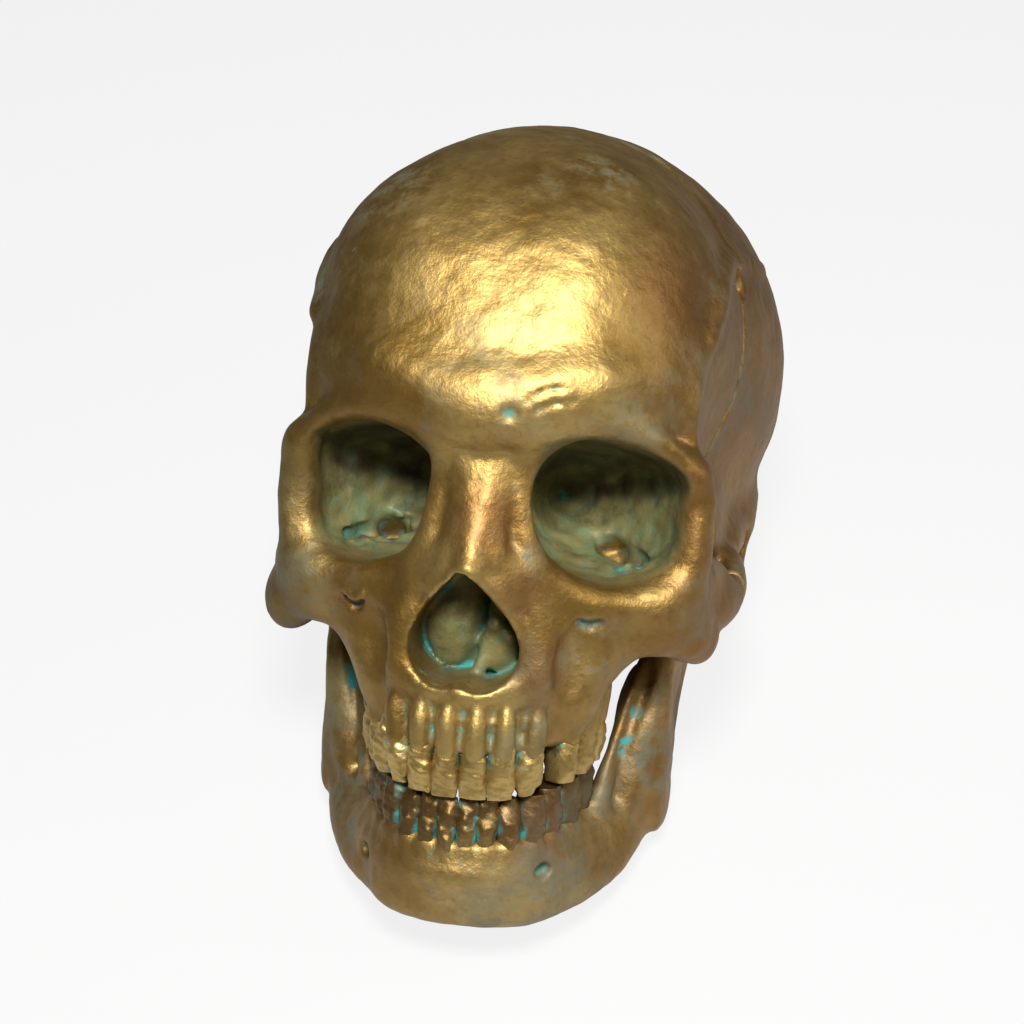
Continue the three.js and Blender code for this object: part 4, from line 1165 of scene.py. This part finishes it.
def set_tooth(tooth, number):
    """A copy of the pattern in a tooth's place; its number decides how it leans and stands."""
    pattern = patterns[kind_of(tooth["name"])]
    mesh = pattern.data.copy()
    own = mesh_points(mesh)
    own = (own - own.min(0)) / np.ptp(own, axis=0) - (0.5, 0.5, 0)
    lean = LEAN_SHARE * math.sin(2.4 * number)
    stand = STAND_OUT * math.sin(1.7 * number)
    short = SHORT_SHARE + SHORT_SHARE * math.sin(3.1 * number) if tooth["upper"] else 0.0
    spread = UPPER_SPREAD if tooth["upper"] else LOWER_SPREAD
    wide = own[:, :1] * tooth["width"] * spread + lean * (own[:, 2:] - 0.5) * tooth["width"]
    deep = own[:, 1:2] * tooth["thick"] * THICKER + stand
    level = tooth["edge"] + (short + (1 - short) * own[:, 2:]) * (tooth["tip"] - tooth["edge"])
    spot = np.array((*tooth["spot"], 0))
    points = spot + wide * tooth["along"] + deep * tooth["out"] + level * np.array((0, 0, 1))
    chip_way = tooth["out"] + 0.4 * tooth["along"]
    for way, start, height in CHIPS:
        points = points + height * np.sin(points @ way + start)[:, None] * chip_way
    mesh.vertices.foreach_set("co", to_frame(points).ravel())
    # A crease layer made for each tooth, high on its sides and near its neck: it paints shade between
    # the teeth and lets patina gather there.
    neck = ramp(own[:, 2] - 0.34, 0.2)
    sides = np.clip(np.abs(own[:, 0]) * 2.6 - 0.75, 0, 1)
    crease = neck * sides + 0.5 * sides - (UPPER_WEAR_LESS_SHADE if tooth["upper"] else LOWER_WEAR_LESS_SHADE)
    add_layer(mesh, "crease", crease * 0.5)
    piece = new_piece(tooth["name"] + "_tooth", mesh)
    bpy.ops.object.mode_set(mode="EDIT")
    bpy.ops.mesh.select_all(action="SELECT")
    bpy.ops.mesh.normals_make_consistent(inside=False)
    bpy.ops.object.mode_set(mode="OBJECT")
    bpy.ops.object.shade_smooth()
    return piece


teeth = {t["name"]: set_tooth(t, i) for i, t in enumerate(upper_row + lower_row)}
for pattern in patterns.values():
    bpy.data.objects.remove(pattern)
print(len(teeth), "teeth set")

# %% [markdown]
# ## Springs and screws
# A spring is one wire: a loop round the screw in the cheek arch, curls, and a loop round the screw in
# the jaw's branch. Both springs hide behind the arches. Spin and screw tools make good coils but no
# loops at their ends, so the wire is drawn as a curve with a round bevel and made a mesh. The screws
# are turned cylinders with a slotted head.

# %% Draw the springs
WIRE = 1.0
HOOK = 2.6
LEAD = 4.0
TURNS = 5
POINTS_A_TURN = 20


def hook(x, screw, first, last):
    """A loop round a screw, between two angles in degrees."""
    angles = [math.radians(degrees) for degrees in range(first, last + 1, 10)]
    return [(x, screw[1] + HOOK * math.cos(a), screw[2] + HOOK * math.sin(a)) for a in angles]


def spring_route(x, top, foot):
    curls = []
    steps = TURNS * POINTS_A_TURN
    side = math.copysign(1, x)
    for i in range(steps + 1):
        a = math.pi + i / POINTS_A_TURN * 2 * math.pi
        z = top[2] - LEAD + (foot[2] - top[2] + 2 * LEAD) * i / steps
        curls.append((x + side * HOOK * math.sin(a), top[1] + HOOK * math.cos(a), z))
    return to_frame(hook(x, top, -70, 180) + curls + hook(x, foot, 180, 430))


def spring(side):
    top = to_upright(middle_of(side + "_cheek_screw"))
    foot = to_upright(middle_of(side + "_jaw_screw"))
    x = to_upright(middle_of(side + "_jaw_spring"))[0]
    drawing = bpy.data.curves.new(side + "_spring_wire", "CURVE")
    drawing.dimensions = "3D"
    drawing.bevel_depth = WIRE / 2 * MM
    drawing.bevel_resolution = 3
    drawing.use_fill_caps = True
    route = spring_route(x, top, foot)
    line = drawing.splines.new("POLY")
    line.points.add(len(route) - 1)
    line.points.foreach_set("co", np.c_[route, np.ones(len(route))].ravel())
    new_piece(side + "_spring_wire", drawing)
    bpy.ops.object.convert(target="MESH")
    wire = bpy.context.object
    bpy.ops.object.shade_smooth()
    return wire, to_frame(top), to_frame(foot)


springs = {side: spring(side) for side in ("left", "right")}
print("springs of", TURNS, "turns,", len(springs["left"][0].data.polygons), "faces each")

# %% Turn the screws
SLOT_WIDTH = 0.9
SLOT_DEPTH = 0.8
HEAD_RADIUS = 3.0
HEAD_HEIGHT = 2.0
SHANK_RADIUS = 1.5
END_SHARE = 0.7
EDGE_BEVEL = 0.15
SMOOTH_ANGLE = math.radians(40)


def piece_top(piece):
    shape = bmesh.from_edit_mesh(piece.data)
    return max(v.co.z for v in shape.verts)


def cut_slot(piece, length):
    bpy.ops.mesh.primitive_cube_add(size=1, location=(0, 0, length))
    tool = bpy.context.object
    tool.scale = (SLOT_WIDTH, 3 * HEAD_RADIUS, 2 * SLOT_DEPTH)
    bpy.ops.object.transform_apply(location=True, scale=True)
    work_on(piece)
    apply_modifier(piece, "BOOLEAN", object=tool, operation="DIFFERENCE")
    apply_modifier(piece, "BEVEL", width=EDGE_BEVEL, segments=2)
    bpy.ops.object.shade_smooth_by_angle(angle=SMOOTH_ANGLE)
    bpy.data.objects.remove(tool)


def screw_pattern(length):
    """A screw along +Z with its tip at z 0, modelled as by hand."""
    deselect_all()
    shank = length - HEAD_HEIGHT
    bpy.ops.mesh.primitive_cylinder_add(vertices=32, radius=SHANK_RADIUS, depth=shank,
                                        location=(0, 0, shank / 2))
    piece = bpy.context.object
    bpy.ops.object.transform_apply(location=True)
    bpy.ops.object.mode_set(mode="EDIT")
    bpy.ops.mesh.select_mode(type="FACE")
    grow = HEAD_RADIUS / SHANK_RADIUS
    for share, spread in ((0.2, grow), (0.4, 1), (0.4, END_SHARE)):
        pull_out(piece, piece_top(piece), HEAD_HEIGHT * share, spread, spread)
    face_across(piece, 0)
    bpy.ops.transform.resize(value=(END_SHARE, END_SHARE, 1))
    bpy.ops.object.mode_set(mode="OBJECT")
    cut_slot(piece, length)
    return piece


def screw(node):
    points = node_points(node)
    low, high = points.min(0), points.max(0)
    way = math.copysign(1, low[0] + high[0]) * (1 if "jaw" in node else -1)
    tip = low[0] if way > 0 else high[0]
    piece = screw_pattern(high[0] - low[0])
    x, y, z = mesh_points(piece.data).T
    middle = (low + high) / 2
    placed = np.stack((tip + way * z, middle[1] + way * x, middle[2] + y), 1)
    piece.data.vertices.foreach_set("co", to_frame(placed).ravel())
    piece.name = node + "_turned"
    piece.data.name = piece.name
    return piece


screws = {node: screw(node) for node in frame["nodes"] if node.endswith("_screw")}
print(len(screws), "screws of", [len(piece.data.polygons) for piece in screws.values()], "faces")

# %% [markdown]
# ## Bronze paint
# The paint is a metal paint brushed on by hand: pale gold where it is thick and rubbed, coppery brown
# elsewhere, with a grey-green haze in patches. Green patina was wiped on last and stays in creases.
# Each of these is a mask. The masks are made in node groups, so that the head, the jaw and the teeth
# share them with values of their own.

# %% Masks of patina, haze and rubbed gold
def new_group(name, inputs, outputs):
    """A node group whose sockets are numbers, but for the vector Place."""
    tree = bpy.data.node_groups.new(name, "ShaderNodeTree")
    for way, labels in (("INPUT", inputs), ("OUTPUT", outputs)):
        for label in labels:
            kind = "NodeSocketVector" if label == "Place" else "NodeSocketFloat"
            tree.interface.new_socket(label, in_out=way, socket_type=kind)
    given = tree.nodes.new("NodeGroupInput").outputs
    return tree, [Value(given[label]) for label in inputs], tree.nodes.new("NodeGroupOutput")


def use_group(tree, group, **sockets):
    node = add_node(tree, "ShaderNodeGroup", {"node_tree": group}, **sockets)
    return {socket.name: Value(socket) for socket in node.outputs}


def patina_masks():
    tree, (place, crease, hollow, green), result = new_group(
        "patina_masks", ("Place", "Crease", "Hollow", "Green"), ("Verdigris", "Haze", "Rubbed"))
    broken = blotches(place, 260, 5.0, 0.65)
    broad = blotches(place, 45, 3.0)
    gathered = crease.stretched(0.02, 0.22) | hollow.stretched(0.05, 0.45) * 0.7
    patchy = (broken + broad * 0.5).stretched(0.60, 0.86)
    flecks = broken.stretched(0.66, 0.74) * broad.stretched(0.5, 0.62)
    settled = gathered * patchy | flecks * 0.45
    clouds = blotches(place, 26, 7.0, 0.68).stretched(0.50, 0.68)
    ridge = (crease * -1.0).stretched(0.02, 0.26)
    worn = ridge * broken.stretched(0.32, 0.6)
    fill(result, Verdigris=(settled * green).clamped(), Haze=clouds, Rubbed=worn)
    return tree


patina = patina_masks()
print("patina masks:", len(patina.nodes), "nodes")

# %% Height of the cast and painted skin
def cast_skin():
    tree, (place, dents), result = new_group("cast_skin", ("Place", "Dents"), ("Height",))
    dented = blotches(place, 240, 4.0, 0.62) * dents
    fill(result, Height=dented + blotches(place, 900, 3.0, 0.6) * 0.3)
    return tree


skin_height = cast_skin()
print("cast skin:", len(skin_height.nodes), "nodes")

# %% [markdown]
# ## Paint on the head, the jaw and the teeth
# Each coat is a colour laid over the last one through its own mask, in the order that a painter works:
# two tones of bronze, copper with painted shade on the nose bridge, rubbed gold, gold spots that are
# also painted highlights, haze, speckles, the dull green of the sockets with dark blotches, painted
# shadow under the brows, painted shade in the creases, and the patina. The skull's left side is more
# coppery and its right side more olive, so the mix also follows the place across the head. Haze and
# patina are dull, so they take metal away.

# %% Colours and the places of spots, in upright millimetres
GOLD = (0.54, 0.375, 0.125, 1)
PALE_GOLD = (0.68, 0.48, 0.165, 1)
BRONZE = (0.22, 0.118, 0.016, 1)
COPPER = (0.23, 0.10, 0.03, 1)
OLIVE = (0.13, 0.092, 0.022, 1)
UMBER = (0.20, 0.105, 0.018, 1)
BROWN = (0.13, 0.078, 0.026, 1)
HAZE = (0.075, 0.14, 0.12, 1)
VERDIGRIS = (0.025, 0.30, 0.28, 1)
DEEP_GREEN = (0.17, 0.255, 0.125, 1)
# Dark paint: dirt blotches in the sockets, and painted shade under the brows and in the creases.
DIRT_AND_SHADE = (0.035, 0.024, 0.008, 1)
# Gold spots are gold paint that also stands in for highlights on the forehead, brow, cheek, upper jaw
# and chin.
GOLD_AND_HIGHLIGHT_SPOTS = (((4, -87, -77), 20), ((12, -93, 44), 20), ((42, -72, -3), 13), ((0, -95, -33), 20),
              ((4, -92, 62), 26))
HAZY_SPOTS = (((-31, -62, 89), 20), ((-48, -58, 63), 18), ((41, -70, 49), 16), ((28, -80, -15), 13),
              ((-36, -60, -68), 22), ((52, -50, 13), 18), ((41, -45, -54), 16), ((58, -32, 44), 16),
              ((12, -88, 6), 9), ((26, -76, -76), 13), ((-46, -66, -8), 10), ((20, -60, 100), 14))
# Copper spots; the first, on the nose bridge, is painted shade that darkens the bridge where the lamp
# catches it.
COPPER_AND_SHADE_SPOTS = (((2, -95, 15), 14), ((11, -91, -2), 11), ((18, -88, -22), 14), ((38, -68, 72), 22),
                ((22, -84, -66), 15), ((50, -60, -14), 14), ((44, -30, -48), 22),
                ((-14, -86, 46), 12), ((-30, -76, -8), 12))
GREEN_SPOTS = (((-36, -47, -40), 11), ((37, -47, -46), 10), ((-10, -89, -26), 5), ((-11, -94, -38), 4),
               ((35, -61, 1), 8), ((-35, -61, 1), 8), ((13, -84, 13), 7), ((-13, -84, 10), 5),
               ((0, -90, -64), 16), ((-20, -80, -52), 12))
print("spots:", len(GOLD_AND_HIGHLIGHT_SPOTS + HAZY_SPOTS + COPPER_AND_SHADE_SPOTS + GREEN_SPOTS))

# %% Tools for paints
def new_paint(name):
    """A material, its shader and the place that its masks follow."""
    paint = bpy.data.materials.new(name)
    paint.use_nodes = True
    place = Value(add_node(paint.node_tree, "ShaderNodeTexCoord").outputs["Object"])
    return paint, paint.node_tree.nodes["Principled BSDF"], place


def bumped(height, strength, distance):
    bump = add_node(height.tree, "ShaderNodeBump", None, Height=height, Strength=strength,
                    Distance=distance)
    return Value(bump.outputs["Normal"])


def attribute(tree, name):
    return Value(add_node(tree, "ShaderNodeAttribute", {"attribute_name": name}).outputs["Fac"])


def spots_mask(place, spots):
    """One at the middle of each spot, fading out at its radius."""
    total = 0.0
    for centre, radius in spots:
        gap = add_node(place.tree, "ShaderNodeVectorMath", {"operation": "DISTANCE"})
        plug(gap.inputs[0], place)
        plug(gap.inputs[1], tuple(float(v) for v in to_frame(centre)))
        near = 1.0 - Value(gap.outputs["Value"]).stretched(0.3 * radius * MM, radius * MM)
        total = near | total
    return total


print("paint tools ready")

# %% Make the paints
COAT = 0.16
COAT_ROUGHNESS = 0.38


def metal_paint(name, thin, thick, gilt, green, hazy, metal, rough):
    """A brushed metal paint; thin and thick are its two tones."""
    paint, shader, place = new_paint(name)
    tree = paint.node_tree
    crease, hollow, socket, brow_shadow = (attribute(tree, k) for k in ("crease", "hollow", "socket", "brow_shadow"))
    masks = use_group(tree, patina, Place=place, Crease=crease, Hollow=hollow, Green=green)
    across = Value(add_node(tree, "ShaderNodeSeparateXYZ", None, Vector=place).outputs["X"])
    sided = mixed(across.stretched(-0.075, 0.075), OLIVE, COPPER)
    brushed = blotches(place, 140, 6.0, 0.7).stretched(0.42, 0.66)
    haze = masks["Haze"] * hazy | spots_mask(place, HAZY_SPOTS) * brushed * 0.7
    dirt = blotches(place, 95, 6.0, 0.7).stretched(0.5, 0.66)
    wiped = blotches(place, 210, 6.0, 0.7).stretched(0.5, 0.6) * crease.stretched(-0.04, 0.05)
    verdigris = masks["Verdigris"] | wiped * spots_mask(place, GREEN_SPOTS)
    tone = mixed(blotches(place, 34, 4.0, 0.6).stretched(0.4, 0.72) * 0.6 + 0.12, thin, thick)
    coats = (
        (abs(across).stretched(0.022, 0.06) * 0.55, sided),
        # Copper, with painted shade on the nose bridge.
        (spots_mask(place, COPPER_AND_SHADE_SPOTS) * 0.6, COPPER),
        (masks["Rubbed"] * (gilt - socket).clamped(), GOLD),
        # Gold paint that also stands in for highlights on the forehead, brow, cheek, upper jaw and
        # chin.
        (spots_mask(place, GOLD_AND_HIGHLIGHT_SPOTS) * (brushed * 0.4 + 0.35), GOLD),
        (haze, HAZE),
        (blotches(place, 480, 5.0, 0.65).stretched(0.48, 0.7) * 0.3, BROWN),
        (socket * (brushed * 0.5 + 0.4), DEEP_GREEN),
        (socket * (dirt * 0.45), DIRT_AND_SHADE),
        # Painted shadow under the brows, at the top of each eye socket.
        (brow_shadow * 0.95, DIRT_AND_SHADE),
        # Painted shade in creases and on the sides of the teeth.
        (crease.stretched(0.06, 0.34) * 0.75, DIRT_AND_SHADE),
        (verdigris, VERDIGRIS),
    )
    for mask, colour in coats:
        tone = mixed(mask, tone, colour)
    dull = (verdigris + haze).clamped() | socket * 0.55
    gloss = dull * 0.28 + blotches(place, 300, 4.0) * 0.16
    height = use_group(tree, skin_height, Place=place, Dents=1.0)["Height"]
    fill(shader, Base_Color=tone, Metallic=(1.0 - dull).clamped() * metal,
         Roughness=(gloss + rough).clamped(), Normal=bumped(height, strength=0.75, distance=0.0005),
         Coat_Weight=COAT, Coat_Roughness=COAT_ROUGHNESS)
    return paint


bronze_paint = metal_paint("bronze_paint", BRONZE, GOLD,
                           gilt=0.6, green=0.8, hazy=0.5, metal=0.86, rough=0.42)
umber_paint = metal_paint("umber_paint", UMBER, GOLD,
                          gilt=0.0, green=0.8, hazy=0.5, metal=0.84, rough=0.42)
tooth_paint = metal_paint("tooth_paint", PALE_GOLD, BRONZE,
                          gilt=0.5, green=0.85, hazy=0.1, metal=0.9, rough=0.34)
brown_tooth_paint = metal_paint("brown_tooth_paint", BROWN, UMBER,
                                gilt=0.25, green=0.9, hazy=0.3, metal=0.84, rough=0.38)
print("paints:", bronze_paint.name, umber_paint.name, tooth_paint.name, brown_tooth_paint.name)

# %% Bright steel for springs and screws
STEEL = (0.60, 0.58, 0.55, 1)
TARNISH = (0.33, 0.28, 0.22, 1)


def bright_steel():
    steel, shader, place = new_paint("bright_steel")
    spots = blotches(place, 420, 4.0).stretched(0.5, 0.72)
    fill(shader, Base_Color=mixed(spots, STEEL, TARNISH), Metallic=1.0, Roughness=spots * 0.2 + 0.26,
         Normal=bumped(blotches(place, 2500, 2.0), strength=0.2, distance=0.0001))
    return steel


steel = bright_steel()
print("steel:", len(steel.node_tree.nodes), "nodes")

# %% [markdown]
# ## Put together
# Each piece now gets its paint and the body it moves with, and the solid that it stands for is hidden.
# The springs stretch, so they join neither body, and their place is baked into their points.

# %% Paint, hang and name the pieces
def finish_piece(piece, paint, body, node):
    piece.data.materials.clear()
    piece.data.materials.append(paint)
    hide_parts(node)
    if body:
        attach(piece, body)


finish_piece(face, bronze_paint, "cranium", "face_shell")
finish_piece(case_back, bronze_paint, "cranium", "braincase_shell")
finish_piece(jaw, umber_paint, "jaw", "lower_jaw")
for name, piece in teeth.items():
    upper = name.startswith("upper")
    paint = tooth_paint if upper else brown_tooth_paint
    finish_piece(piece, paint, "cranium" if upper else "jaw", name)
for node, piece in screws.items():
    finish_piece(piece, steel, "cranium" if "cheek" in node else "jaw", node)
for side, (wire, top, foot) in springs.items():
    finish_piece(wire, steel, None, side + "_jaw_spring")
    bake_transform(wire)
